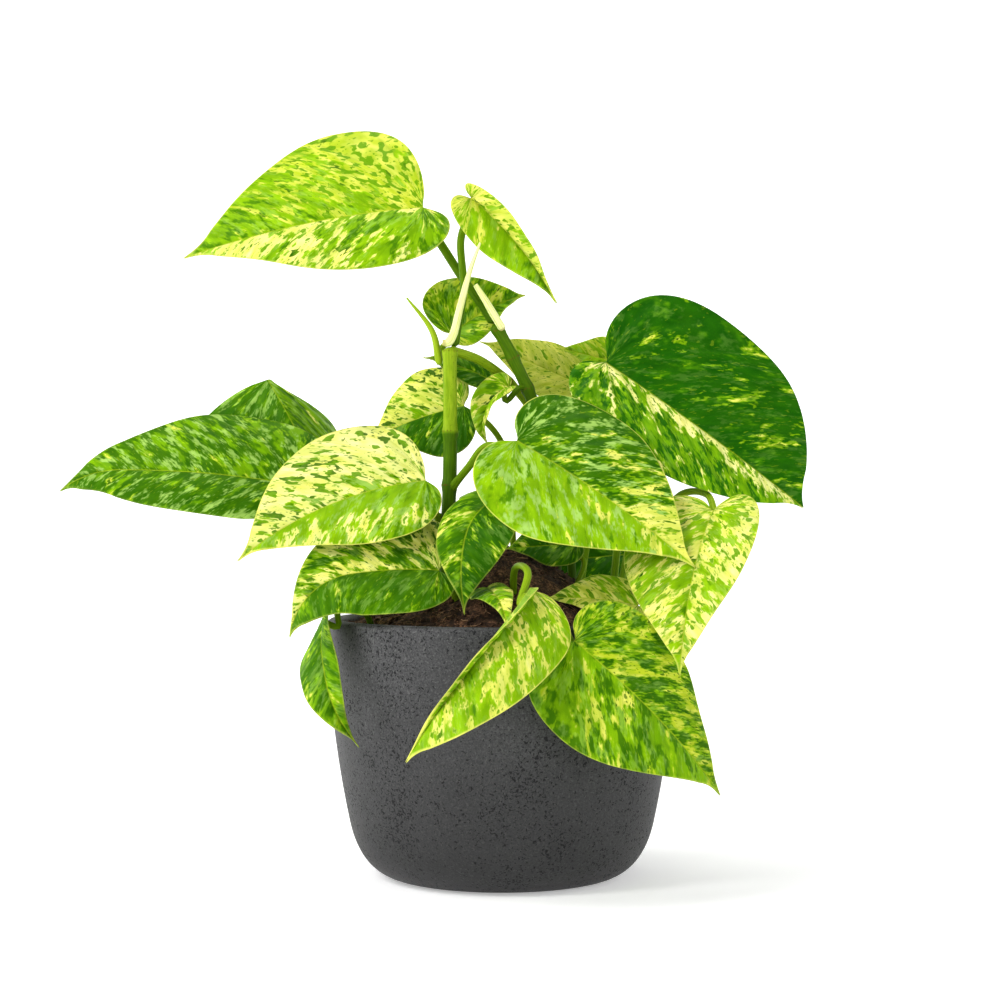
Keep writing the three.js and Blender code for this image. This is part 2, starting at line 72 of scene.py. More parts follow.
# %% [markdown]
# ## The studio
# The plant stands on a white floor that sweeps up all round it, so it can be looked at from every side. A
# backdrop behind it would do for one picture only. White surroundings fill the shadows between the
# leaves, and large soft lamps at both sides and above give the leaves their sheen. Colours stay as bright
# as they are mixed with the plain standard view, while a film-like view would grey them, and a gamma a
# little under 1 deepens the dark tones.

# %% Surroundings and lamps
VIEW_GAMMA, SURROUND_STRENGTH = 0.85, 0.28

view = bpy.context.scene.view_settings
view.view_transform = "Standard"
view.gamma = VIEW_GAMMA


def lamp(name, place, aim, size, watts):
    light = bpy.data.lights.new(name, "AREA")
    light.shape = "RECTANGLE"
    light.size, light.size_y = size
    light.energy = watts
    holder = bpy.data.objects.new(name, light)
    holder.location = place
    holder.rotation_euler = (Vector(aim) - Vector(place)).to_track_quat("-Z", "Y").to_euler()
    bpy.context.scene.collection.objects.link(holder)


surroundings = bpy.data.worlds.new("surroundings")
surroundings.use_nodes = True
surroundings.node_tree.nodes["Background"].inputs["Color"].default_value = (1, 1, 1, 1)
surroundings.node_tree.nodes["Background"].inputs["Strength"].default_value = SURROUND_STRENGTH
bpy.context.scene.world = surroundings
# each lamp's place, what it looks at, its size and its watts
lamp("softbox_left", (-0.75, -0.75, 0.95), (0, 0, 0.15), (0.45, 0.6), 10)
lamp("softbox_edge", (-1.0, 0.1, 0.45), (0, 0, 0.08), (0.3, 0.8), 4)
lamp("softbox_right", (0.95, -0.35, 0.7), (0, 0, 0.15), (0.4, 0.7), 2.2)
lamp("softbox_top", (0.0, 0.15, 1.2), (0, 0, 0.1), (0.5, 0.5), 4.5)
print("lamps hung:", len(bpy.data.lights))

# %% The floor
FLAT_REACH, SWEEP, WALL_TOP = 2.6, 0.8, 1.6
SWEEP_STEPS, FLOOR_SIDES = 12, 96
turns = [math.pi / 2 * step / SWEEP_STEPS for step in range(SWEEP_STEPS + 1)]
profile = [(FLAT_REACH + SWEEP * math.sin(turn), SWEEP - SWEEP * math.cos(turn)) for turn in turns]
profile = [(0, 0)] + profile + [(FLAT_REACH + SWEEP, WALL_TOP)]


def spun(section, unit, sides, merge):
    """Half a section as a wire, spun once round the upright axis, with its seam and its poles closed."""
    shape = bmesh.new()
    wire = [shape.verts.new((reach * unit, 0, height * unit)) for reach, height in section]
    edges = [shape.edges.new(pair) for pair in zip(wire, wire[1:])]
    whole = dict(cent=(0, 0, 0), axis=(0, 0, 1), angle=2 * math.pi, use_merge=True)
    bmesh.ops.spin(shape, geom=wire + edges, steps=sides, **whole)
    bmesh.ops.remove_doubles(shape, verts=shape.verts, dist=merge)
    bmesh.ops.recalc_face_normals(shape, faces=shape.faces)
    return shape


def mesh_of(name, shape):
    mesh = bpy.data.meshes.new(name)
    shape.to_mesh(mesh)
    shape.free()
    return mesh


floor_mesh = mesh_of("floor", spun(profile, 1, FLOOR_SIDES, 1e-5))
floor = bpy.data.objects.new("floor", floor_mesh)
bpy.context.scene.collection.objects.link(floor)
for face in floor_mesh.polygons:
    face.use_smooth = True
print("floor sheet", len(floor_mesh.polygons), "faces")

# %% [markdown]
# ## Painting with sums
# A procedural finish is a sum: this noise times that mask, and so on. The small class below holds one
# socket of a material and lets Python's own signs add the Math nodes. A finish has one method for every
# other kind of node.


# %% The shader helpers
def sign(operation, turned=False):
    """One of Python's signs as a Math node; turned is its reflected form, as in 1 - mask."""
    if turned:
        return lambda wire, other: wire.finish.sum(operation, other, wire)
    return lambda wire, other: wire.finish.sum(operation, wire, other)


class Wire:
    """One socket in a finish. Sums on it add Math nodes."""

    def __init__(self, finish, socket):
        self.finish, self.socket = finish, socket

    __add__, __radd__ = sign("ADD"), sign("ADD", True)
    __sub__, __rsub__ = sign("SUBTRACT"), sign("SUBTRACT", True)
    __mul__, __rmul__ = sign("MULTIPLY"), sign("MULTIPLY", True)
    __truediv__, __rtruediv__ = sign("DIVIDE"), sign("DIVIDE", True)

    def __abs__(self):
        return self.finish.sum("ABSOLUTE", self)


class Finish:
    """A material whose nodes are added one by one."""

    def __init__(self, name, roughness=0.5, **constants):
        self.material = bpy.data.materials.new(name)
        self.material.use_nodes = True
        self.tree = self.material.node_tree
        self.shader = self.tree.nodes["Principled BSDF"]
        self.shader.inputs["Roughness"].default_value = roughness
        for socket, value in constants.items():
            self.shader.inputs[socket.replace("_", " ")].default_value = value

    def node(self, kind, settings=None, sockets=None, stops=None, out=0):
        made = self.tree.nodes.new(kind)
        for key, value in (settings or {}).items():
            setattr(made, key, value)
        if stops:
            ramp = made.color_ramp
            while len(ramp.elements) < len(stops):
                ramp.elements.new(1)
            for element, (place, colour) in zip(ramp.elements, stops):
                element.position = place
                element.color = (*colour, 1)
        for key, value in (sockets or {}).items():
            if isinstance(value, Wire):
                self.tree.links.new(value.socket, made.inputs[key])
            elif isinstance(value, tuple) and len(value) < len(made.inputs[key].default_value):
                made.inputs[key].default_value = (*value, 1)
            else:
                made.inputs[key].default_value = value
        return Wire(self, made.outputs[out])

    def sum(self, operation, *parts):
        return self.node("ShaderNodeMath", {"operation": operation}, dict(enumerate(parts)))

    def value(self, name):
        return self.node("ShaderNodeAttribute", {"attribute_name": name}, out=2)

    def object_place(self):
        return self.node("ShaderNodeTexCoord", out=3)

    def vector(self, x, y, z):
        return self.node("ShaderNodeCombineXYZ", None, {0: x, 1: y, 2: z})

    def noise(self, where, scale=1.0, detail=2.0, rough=0.5, bend=0.0):
        grain = {"Scale": scale, "Detail": detail, "Roughness": rough, "Distortion": bend}
        return self.node("ShaderNodeTexNoise", None, {"Vector": where, **grain})

    def step(self, value, low, high):
        """0 below low, 1 above high, and smooth between."""
        settings = {"interpolation_type": "SMOOTHSTEP"}
        return self.node("ShaderNodeMapRange", settings, {0: value, 1: low, 2: high})

    def mix(self, share, first, second):
        return self.node("ShaderNodeMix", {"data_type": "RGBA"}, {0: share, 6: first, 7: second}, out=2)

    def ramp(self, value, *stops):
        return self.node("ShaderNodeValToRGB", None, {0: value}, stops)

    def bump(self, height, distance, strength):
        sockets = {"Height": height, "Distance": distance, "Strength": strength}
        return self.node("ShaderNodeBump", None, sockets)

    def set(self, socket, wire):
        self.tree.links.new(wire.socket, self.shader.inputs[socket])


print("shader helpers made")

# %% Floor paper
NEAR, FAR = 0.1, 0.7  # metres from the plant's base, between which the glow grows
NEAR_GLOW, FAR_GLOW = (0.40, 0.40, 0.40), (0.70, 0.70, 0.70)
# painted light: the paper glows as a lamp would, less near the plant so a soft shadow shows at the pot's
# foot, and white farther out
paper = Finish("floor_paper", roughness=0.9, Base_Color=(0.8, 0.8, 0.8, 1), Emission_Strength=1)
away = paper.node("ShaderNodeVectorMath", {"operation": "LENGTH"}, {0: paper.object_place()}, out=1)
paper.set("Emission Color", paper.mix(paper.step(away, NEAR, FAR), NEAR_GLOW, FAR_GLOW))
floor_mesh.materials.append(paper.material)
print("floor paper made")

# %% [markdown]
# ## From a bmesh to a piece
# Every piece below is shaped in a bmesh, in metres and in its final place, so its object stays at the
# origin. It then rides on the plant's one body and stands for the plain solid of the same name.


# %% Make a piece
def piece(name, shape, material, node=None, smooth=True):
    mesh = mesh_of(name, shape) if isinstance(shape, bmesh.types.BMesh) else shape
    mesh.materials.append(material)
    mesh.polygons.foreach_set("use_smooth", [smooth] * len(mesh.polygons))
    made = bpy.data.objects.new(name, mesh)
    bpy.context.scene.collection.objects.link(made)
    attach(made, "root")
    if node:
        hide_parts(node)
    return made


def new_verts(grown):
    return [part for part in grown if isinstance(part, bmesh.types.BMVert)]


def new_edges(grown):
    return [part for part in grown if isinstance(part, bmesh.types.BMEdge)]


print("piece helpers made")

# %% [markdown]
# ## The pot
# The planter is cast from a stone mix in a mould: a flat foot, a round lower corner, a wall that leans
# out slightly, and a lip that was rubbed round by hand. It could be a cylinder with a taper, but its side
# bends all the way up, so half of its section is drawn as a wire and spun round the upright axis. The
# section starts and ends on that axis, which closes the pot over its floor.

# %% The pot's section
POT_RADIUS, POT_HEIGHT, POT_WALL, POT_FLOOR = 72.5, 107.0, 5.5, 8.0
BASE_RADIUS, FOOT_REACH = 41, 54  # the flat that it stands on, and where that flat begins to lift off
CORNER_RADIUS, CORNER_HEIGHT = 63.6, 25  # where the wall turns into the round lower corner
BULGE, SHOULDER, LIP_BEND = (61, 11), (69, 50), 80  # how full the corner and the wall are, and its end
LIP_ROUND, LIP_STEPS = 2.4, 12
CORNER_STEPS, WALL_STEPS, POT_SIDES = 18, 20, 144


def bend_shares(t):
    """How much each of a cubic bend's four corners counts at t, which runs from 0 to 1."""
    return (1 - t) ** 3, 3 * t * (1 - t) ** 2, 3 * t * t * (1 - t), t**3


def bend(steps, *corners):
    points = []
    for step in range(steps + 1):
        shares = bend_shares(step / steps)
        points.append(tuple(sum(s * c[axis] for s, c in zip(shares, corners)) for axis in (0, 1)))
    return points


def pot_wall(inset, bottom):
    corner, brim = (CORNER_RADIUS - inset, CORNER_HEIGHT), POT_RADIUS - inset
    bulge = (BULGE[0] - inset, BULGE[1] + bottom / 2)
    shoulder = (SHOULDER[0] - inset, SHOULDER[1])
    low = bend(CORNER_STEPS, (BASE_RADIUS - inset, bottom), (FOOT_REACH - inset, bottom), bulge, corner)
    high = bend(WALL_STEPS, corner, shoulder, (brim, LIP_BEND), (brim, POT_HEIGHT - LIP_ROUND))
    return low + high[1:]


lip_round = []
for step in range(1, LIP_STEPS):
    turn = math.pi * step / LIP_STEPS
    out = POT_RADIUS - POT_WALL / 2 * (1 - math.cos(turn))
    lip_round.append((out, POT_HEIGHT - LIP_ROUND + LIP_ROUND * math.sin(turn) ** 0.8))
foot = [(0, 1.2), (20, 1.2), (34, 1.0), (38, 0.2)]  # the middle of the base is cast a little hollow
section = foot + pot_wall(0, 0) + lip_round + pot_wall(POT_WALL, POT_FLOOR)[::-1] + [(0, POT_FLOOR)]
print("section points", len(section))

# %% Spin the section
pot_shape = spun(section, MM, POT_SIDES, 1e-6)
print("pot faces", len(pot_shape.faces))

# %% [markdown]
# The stone is nearly black, with a cloudy tone from the mould, fine wormy pits where air sat against the
# mould, and pale grains of sand. It is painted a little darker towards its foot, as shade. The pits are
# one stretched noise, cut off high so that only its peaks are left; they are deeper than the skin around
# them, and painted darker, as the shade inside them.

# %% Cast stone
stone = Finish("cast_stone", roughness=0.5)
on_pot = stone.object_place()
clouds = stone.noise(on_pot, scale=26, detail=4)
skin = stone.noise(on_pot, scale=1300, detail=3, rough=0.7)
worms = stone.noise(on_pot, scale=980, detail=1.5, bend=0.8)
where_pits = stone.noise(on_pot, scale=34, detail=2)
pits = stone.step(worms + (where_pits - 0.5) * 0.3, 0.62, 0.645)
sand = stone.step(stone.noise(on_pot, scale=900, detail=1), 0.62, 0.68)
STONE_TONES = (0.35, (0.020, 0.020, 0.021)), (0.5, (0.049, 0.049, 0.050)), (0.65, (0.098, 0.098, 0.099))
tone = stone.ramp(clouds * 0.25 + skin * 0.75, *STONE_TONES)
tone = stone.mix(sand * 0.35, tone, (0.16, 0.16, 0.155))
# painted shade: the stone's colour is darkened towards the pot's foot, as the shade low on its wall
painted_foot_shade = 1 - stone.step(stone.node("ShaderNodeSeparateXYZ", None, {0: on_pot}, out=2), 0.01, 0.11)
tone = stone.mix(painted_foot_shade * 0.65, tone, (0.018, 0.018, 0.018))
# painted shade: the pits are coloured nearly black, as the shade inside them
tone = stone.mix(pits * 0.95, tone, (0.003, 0.003, 0.004))
stone.set("Base Color", tone)
stone.set("Roughness", 0.42 + skin * 0.22 + pits * 0.2)
stone.set("Normal", stone.bump(skin * 0.4 - pits + sand * 0.3, 0.0003, 0.75))
piece("pot_cast", pot_shape, stone.material, "pot")
print("pot made")

# %% [markdown]
# ## The soil
# Peat fills the pot and stands up in the middle, where the root ball was set in. A dome alone would look
# poured, so the mound is spun like the pot, then its top is pushed up and down with noise, and loose
# crumbs are scattered on it. A crumb is a rough little ball of only 20 faces, because there are over a
# thousand.

# %% The mound
SOIL_EDGE, SOIL_RISE, SOIL_GAP, SOIL_LIFT = 103.0, 31.0, 0.25, 1.2
LUMPS_PER_MM, LUMP_HEIGHT = 0.11, 1.5
TOP_RINGS, SOIL_SIDES = 60, 160
soil_reach = POT_RADIUS - POT_WALL - SOIL_GAP


def soil_height(x, y):
    share = min(1.0, math.hypot(x, y) / soil_reach)
    lumps = noise.fractal(Vector((x, y, 0)) * LUMPS_PER_MM, 0.8, 2.0, 5) * LUMP_HEIGHT
    return SOIL_EDGE + SOIL_RISE * 0.5 * (1 + math.cos(math.pi * share)) + lumps + SOIL_LIFT


soil_floor = POT_FLOOR + 0.1
side = [point for point in pot_wall(POT_WALL + SOIL_GAP, soil_floor) if point[1] < SOIL_EDGE]
flat_top = [(soil_reach * step / TOP_RINGS, SOIL_EDGE) for step in range(TOP_RINGS, -1, -1)]
peat_shape = spun([(0, soil_floor)] + side[::3] + flat_top, MM, SOIL_SIDES, 1e-6)
for vert in peat_shape.verts:
    if vert.co.z > (SOIL_EDGE - 0.01) * MM:
        vert.co.z = soil_height(vert.co.x / MM, vert.co.y / MM) * MM
bmesh.ops.recalc_face_normals(peat_shape, faces=peat_shape.faces)
print("peat faces", len(peat_shape.faces))

# %% The crumbs
CRUMBS, CRUMB_MARGIN, CRUMB_RADIUS, CRUMB_SPREAD, CRUMB_DENTS = 1500, 2.5, 0.45, 1.5, 0.35
SEED = 7
rng = random.Random(SEED)
noise.seed_set(SEED)  # unseeded, the vector noise starts from the clock
crumb_shape = bmesh.new()
for count in range(CRUMBS):
    out = (soil_reach - CRUMB_MARGIN) * math.sqrt(rng.random())
    turn = rng.uniform(0, 2 * math.pi)
    size = CRUMB_RADIUS + CRUMB_SPREAD * rng.random() ** 3
    x, y = out * math.cos(turn), out * math.sin(turn)
    place = Matrix.Translation(Vector((x, y, soil_height(x, y) + size * 0.3)) * MM)
    tilt = Matrix.Rotation(rng.uniform(0, 6), 4, Vector((rng.random(), rng.random(), 0.2)).normalized())
    squash = Matrix.Diagonal((1.0, rng.uniform(0.6, 1), rng.uniform(0.45, 0.8), 1))
    bmesh.ops.create_icosphere(crumb_shape, subdivisions=1, radius=size * MM, matrix=place @ tilt @ squash)
for vert in crumb_shape.verts:
    vert.co += noise.noise_vector(vert.co * 1300) * CRUMB_DENTS * MM
print("crumb faces", len(crumb_shape.faces))

# %% Peat
peat = Finish("peat", roughness=0.95)
on_soil = peat.object_place()
clods = peat.noise(on_soil, scale=140, detail=4, rough=0.7)
dust = peat.noise(on_soil, scale=900, detail=3, rough=0.7)
EARTH_TONES = (0.36, (0.010, 0.005, 0.003)), (0.5, (0.060, 0.029, 0.013)), (0.62, (0.28, 0.15, 0.080))
peat.set("Base Color", peat.ramp(clods * 0.5 + dust * 0.5, *EARTH_TONES))
peat.set("Normal", peat.bump(clods + dust * 0.5, 0.0009, 0.9))
piece("soil_peat", peat_shape, peat.material, "soil")
piece("soil_crumbs", crumb_shape, peat.material, smooth=False)
print("soil made")

# %% [markdown]
# Fresh potting soil is full of pale brown fibres of coir and dead root. Each one here is a ring of five
# points that is extruded over the mound in short steps, with a small turn at each step. Hair particles
# could strew them faster, but they would not be meshes that can be kept with the model.

# %% Root fibres
FIBRES, FIBRE_STEPS, FIBRE_STEP, FIBRE_RADIUS = 150, 7, 1.1, 0.2
FIBRE_MARGIN, FIBRE_LIFT, FIBRE_VEER = 9, (0.3, 0.9), 0.5
fibre_shape = bmesh.new()
for count in range(FIBRES):
    out, turn = (soil_reach - FIBRE_MARGIN) * math.sqrt(rng.random()), rng.uniform(0, 2 * math.pi)
    x, y, bearing = out * math.cos(turn), out * math.sin(turn), rng.uniform(0, 2 * math.pi)
    lift = rng.uniform(*FIBRE_LIFT)
    here = Vector((x, y, soil_height(x, y) + lift)) * MM
    upright = Vector((math.cos(bearing), math.sin(bearing), 0)).to_track_quat("Z", "Y").to_matrix().to_4x4()
    place = Matrix.Translation(here) @ upright
    disc = dict(cap_ends=True, segments=5, radius=FIBRE_RADIUS * MM, matrix=place)
    ring = bmesh.ops.create_circle(fibre_shape, **disc)["verts"]
    edges = list({edge for vert in ring for edge in vert.link_edges})
    for step in range(FIBRE_STEPS):
        veer = rng.uniform(-FIBRE_VEER, FIBRE_VEER)
        bearing += veer
        x, y = x + FIBRE_STEP * math.cos(bearing), y + FIBRE_STEP * math.sin(bearing)
        ahead = Vector((x, y, soil_height(x, y) + lift * (1 - step / FIBRE_STEPS))) * MM
        grown = bmesh.ops.extrude_edge_only(fibre_shape, edges=edges)["geom"]
        ring, edges = new_verts(grown), new_edges(grown)
        bmesh.ops.rotate(fibre_shape, cent=here, matrix=Matrix.Rotation(veer, 3, "Z"), verts=ring)
        bmesh.ops.translate(fibre_shape, verts=ring, vec=ahead - here)
        here = ahead
    bmesh.ops.contextual_create(fibre_shape, geom=edges)
bmesh.ops.recalc_face_normals(fibre_shape, faces=fibre_shape.faces)
coir = Finish("coir_fibre", roughness=0.85)
lengths = coir.noise(coir.object_place(), scale=260, detail=2)
coir.set("Base Color", coir.ramp(lengths, (0.35, (0.09, 0.045, 0.02)), (0.6, (0.36, 0.22, 0.12))))
piece("soil_fibres", fibre_shape, coir.material)
print("fibres made:", FIBRES)

# %% [markdown]
# ## Stems
# A stem is a ring that is carried along a route. The ring is a circle with a shallow groove on top, as a
# leaf stalk has, and each step is an extrusion that is moved, turned and scaled to the next place on the
# route. A curve with a round bevel would be quicker, but it could not swell at the nodes or carry how far
# along and round each point is, which the skin's streaks need.


# %% A smooth route
def on_bend(before, start, end, after, t):
    """A point between start and end, on a bend that passes through all four (a centripetal spline)."""
    gaps = [max(1e-6, math.sqrt((b - a).length)) for a, b in ((before, start), (start, end), (end, after))]
    first, middle, last = gaps
    leave = ((start - before) / first - (end - before) / (first + middle) + (end - start) / middle) * middle
    arrive = ((end - start) / middle - (after - start) / (middle + last) + (after - end) / last) * middle
    rest = start * (2 * t**3 - 3 * t**2 + 1) + end * (3 * t**2 - 2 * t**3)
    return rest + leave * (t**3 - 2 * t**2 + t) + arrive * (t**3 - t**2)


def smooth_route(points, spacing):
    knots = [Vector(point) for point in points]
    knots = [knots[0] * 2 - knots[1]] + knots + [knots[-1] * 2 - knots[-2]]
    fine = [on_bend(*knots[i : i + 4], step / 24) for i in range(len(knots) - 3) for step in range(24)]
    fine.append(knots[-2])
    run = np.concatenate([[0], np.cumsum([(b - a).length for a, b in zip(fine, fine[1:])])])
    count = max(5, round(run[-1] / spacing))
    wanted = np.linspace(0, run[-1], count + 1)
    table = np.array(fine)
    return [Vector([np.interp(at, run, table[:, axis]) for axis in range(3)]) for at in wanted], wanted


def frames_along(points, side_way):
    """At each point the way ahead, and a side way that turns as little as it can."""
    made = []
    for i, point in enumerate(points):
        ahead = (points[min(i + 1, len(points) - 1)] - points[max(i - 1, 0)]).normalized()
        side_way = (side_way - ahead * side_way.dot(ahead)).normalized()
        made.append((point, ahead, side_way))
    return made


print("route helpers made")

# %% A ring carried along a route
RING_SPACING, GROOVE_TURN = 1.5, 0.55
NODE_LENGTH, NODE_SWELL = 1.9, 0.2
TIP_START, TIP_LENGTH = 0.35, 0.8  # a stem's rounded ends, in shares of its radius


def even(share):
    return 1.0


def stem_shape(route, radius, age, groove, width=even, sides=14, ridges=0.0, nodes=()):
    """width and age say how wide and how old the stem is at each share of its length from its foot."""
    points, run = smooth_route(route, RING_SPACING)
    shape = bmesh.new()
    marks = "along", "side_x", "side_y", "node", "age"
    layers = {name: shape.verts.layers.float.new(name) for name in marks}
    ring = bmesh.ops.create_circle(shape, cap_ends=True, segments=sides, radius=1)["verts"]
    for vert in ring:
        turn = math.atan2(vert.co.y, vert.co.x)
        off_top = math.remainder(turn - math.pi / 2, 2 * math.pi)
        hollow = groove * math.exp(-((off_top / GROOVE_TURN) ** 2))
        vert.co *= 1 - hollow + ridges * math.cos(sides / 2 * turn)
    edges = list({edge for vert in ring for edge in vert.link_edges})
    last = Matrix.Identity(4)
    for i, (point, ahead, side_way) in enumerate(frames_along(points, Vector((0.3, -1, 0.2)))):
        turned = Matrix((side_way.cross(ahead), side_way, ahead)).transposed().to_4x4()
        share = run[i] / run[-1]
        node = min(1.0, sum(math.exp(-(((point.z - height) / NODE_LENGTH) ** 2)) for height in nodes))
        tip = min(1.0, TIP_START + min(run[i], run[-1] - run[i]) / (radius * TIP_LENGTH))
        reach = radius * width(share) * tip * (1 + NODE_SWELL * node)
        here = Matrix.Translation(point * MM) @ turned @ Matrix.Diagonal((reach * MM, reach * MM, MM, 1))
        if i > 0:
            grown = bmesh.ops.extrude_edge_only(shape, edges=edges)["geom"]
            ring, edges = new_verts(grown), new_edges(grown)
        bmesh.ops.transform(shape, matrix=here @ last.inverted(), verts=ring)
        last, back = here, here.inverted()
        for vert in ring:
            flat = back @ vert.co
            vert[layers["along"]] = run[i]
            vert[layers["side_x"]], vert[layers["side_y"]] = flat.x, flat.y
            vert[layers["node"]], vert[layers["age"]] = node, age(share)
    bmesh.ops.contextual_create(shape, geom=edges)
    bmesh.ops.recalc_face_normals(shape, faces=shape.faces)
    return shape


print("stem helpers made")


# %% [markdown]
# A young stem is lime green with faint lengthwise streaks; lower down it turns olive, and at each node an
# old leaf scar leaves a ragged brown ring. The streaks are noise on the point's place round the stem,
# stretched along.

# %% Stem skin
stem_skin = Finish("stem_skin", roughness=0.42, Specular_IOR_Level=0.08)
along, node_ring, age = (stem_skin.value(name) for name in ("along", "node", "age"))
around = [stem_skin.value(name) for name in ("side_x", "side_y")]
streaks = stem_skin.noise(stem_skin.vector(around[0] * 3.2, around[1] * 3.2, along * 0.12), detail=3)
flecks = stem_skin.noise(stem_skin.vector(around[0] * 5, around[1] * 5, along * 0.9), detail=2)
skin_tone = stem_skin.ramp(
    1 - age * 0.8 + (streaks - 0.5) * 0.7,
    (0.0, (0.045, 0.105, 0.003)),
    (0.35, (0.085, 0.18, 0.003)),
    (0.75, (0.19, 0.31, 0.007)),
    (1.0, (0.31, 0.43, 0.020)),
)
scar = stem_skin.step(node_ring + (flecks - 0.5) * 0.5, 0.86, 0.99)
skin_tone = stem_skin.mix(stem_skin.step(flecks, 0.62, 0.7) * 0.35, skin_tone, (0.09, 0.12, 0.006))
stem_skin.set("Base Color", stem_skin.mix(scar * 0.7, skin_tone, (0.16, 0.10, 0.02)))
stem_skin.set("Roughness", 0.38 + scar * 0.4)
stem_skin.set("Normal", stem_skin.bump(streaks + scar * flecks, 0.00022, 0.6))
print("stem skin made")

# %% The three vines
# each vine's radius, route, heights of nodes, and the share of its length from where it is young
VINES = {
    "vine_left": (
        2.9, [(-22, -12, 84), (-23, -12, 130), (-21.5, -10.5, 165), (-21.5, -9, 219)],
        (141, 162, 184, 217), 0.74,
    ),
    "vine_right": (
        2.6, [(24, 6, 84), (21, 8, 150), (14, 10, 194), (5, 8, 215), (-3, 6, 230)],
        (203, 216, 228), 1.1,
    ),
    "vine_crossing": (
        1.9, [(32, 18, 84), (27, 18, 150), (15, 17, 190), (4, 15, 205), (-8, 8, 214), (-21.5, -9, 218)],
        (192, 206), 0.5,
    ),
}


def vine_age(young_from):
    """Nearly new above the last node, and old below it."""
    return lambda share: 0.15 if share > young_from else 1.1 - 0.3 * share


for name, (radius, route, nodes, young_from) in VINES.items():
    shape = stem_shape(route, radius, vine_age(young_from), groove=0.05, sides=20, ridges=0.02, nodes=nodes)
    piece(name + "_stem", shape, stem_skin.material, name)
print("vines made:", len(VINES))

# %% [markdown]
# ## The blades
# A pothos leaf is a leathery heart, folded a little along its midrib, quilted between its side veins and
# waved at its margin. It starts as a flat grid, which gets a second layer by an extrusion, so it has two
# faces and a closed rim. Then every point is bent to its place: one way of the grid runs from the seat to
# the tip, and its rows follow the side veins, so that colour and relief can follow them too. Sculpting
# one leaf and copying it would be quicker, but each leaf here has a length, halves, fold and droop of its
# own.


# %% Which way a leaf points
def spread(values, s):
    return np.interp(s, np.linspace(0, 1, len(values)), values)


def heading(leaf, s):
    """The midrib's way, the blade's upper side and its right side, from the seat (s = 0) to the tip (1)."""
    bearing, rise, roll = (np.radians(spread(leaf[key], s))[:, None] for key in ("bearing", "rise", "roll"))
    none, upright = np.zeros_like(bearing), np.array([0, 0, 1.0])
    level = np.hstack([np.cos(bearing), np.sin(bearing), none])
    forward = level * np.cos(rise) + upright * np.sin(rise)
    flat_up = upright * np.cos(rise) - level * np.sin(rise)
    flat_right = np.hstack([np.sin(bearing), -np.cos(bearing), none])
    up = flat_up * np.cos(roll) + flat_right * np.sin(roll)
    right = flat_right * np.cos(roll) - flat_up * np.sin(roll)
    return forward, up, right


print("heading helpers made")

# %% Half of a heart
LOBE_DEPTH, WIDEST, TIP_WIDTH, NOTCH_WIDTH = 0.14, 0.26, 0.008, 0.06
LOBE_SHARE, LOBE_START = 0.4, 0.15
SWELL_REACH, SWELL_MORE = 0.58, 0.2  # how long a half stays wide, and how much longer if it is full
TAPER_REACH, TAPER_WIDTH = 0.8, 0.2  # where it runs out to the tip
FULL_REACH, FULL_WIDTH = 0.13, 0.35  # and how far a full half moves that place
DRIP_START, DRIP_LONGER, DRIP_SLIMMER = 0.88, 0.02, 0.45


def outline(share, full, lobe):
    """x in lengths along the midrib and y in half widths, from the notch (0) to the drip tip (1)."""
    back = -LOBE_DEPTH * lobe
    swell = (SWELL_REACH + SWELL_MORE * full, 1)
    taper = (TAPER_REACH + FULL_REACH * full, TAPER_WIDTH + FULL_WIDTH * full)
    lobe_bend = ((0, NOTCH_WIDTH), (back, LOBE_START), (back, 1), (WIDEST, 1))
    tip_bend = ((WIDEST, 1), swell, taper, (1, TIP_WIDTH))
    in_lobe = share < LOBE_SHARE
    t = np.where(in_lobe, share / LOBE_SHARE, (share - LOBE_SHARE) / (1 - LOBE_SHARE))
    x, y = 0, 0
    for counts, in_lobe_bend, in_tip_bend in zip(bend_shares(t), lobe_bend, tip_bend):
        x = x + counts * np.where(in_lobe, in_lobe_bend[0], in_tip_bend[0])
        y = y + counts * np.where(in_lobe, in_lobe_bend[1], in_tip_bend[1])
    drip = np.clip((share - DRIP_START) / (1 - DRIP_START), 0, 1)
    return x + DRIP_LONGER * drip**2, y * (1 - DRIP_SLIMMER * drip)


print("outline helper made, widest at", WIDEST, "of the length")

# %% Bend a flat grid into a blade
MIDRIB_STEPS, VEIN_START, VEIN_SLANT = 32, 1.6, 1.2
SIDE_VEINS, VEIN_SLOPE, VEIN_BOW = 10, 0.75, 0.006
FAN = 24  # beside the seat the veins fan out: one radian of the fan counts as so many millimetres of midrib


def veins(x, y):
    """Where on the midrib the side vein through (x, y) starts, and how far out along it the point lies."""
    ahead = VEIN_SLOPE * y + VEIN_BOW * y * y
    fan = -FAN * (np.arctan2(y, x) - np.arctan2(y, ahead))
    return np.where(x > ahead, x - ahead, fan), np.hypot(np.minimum(x, ahead), y)


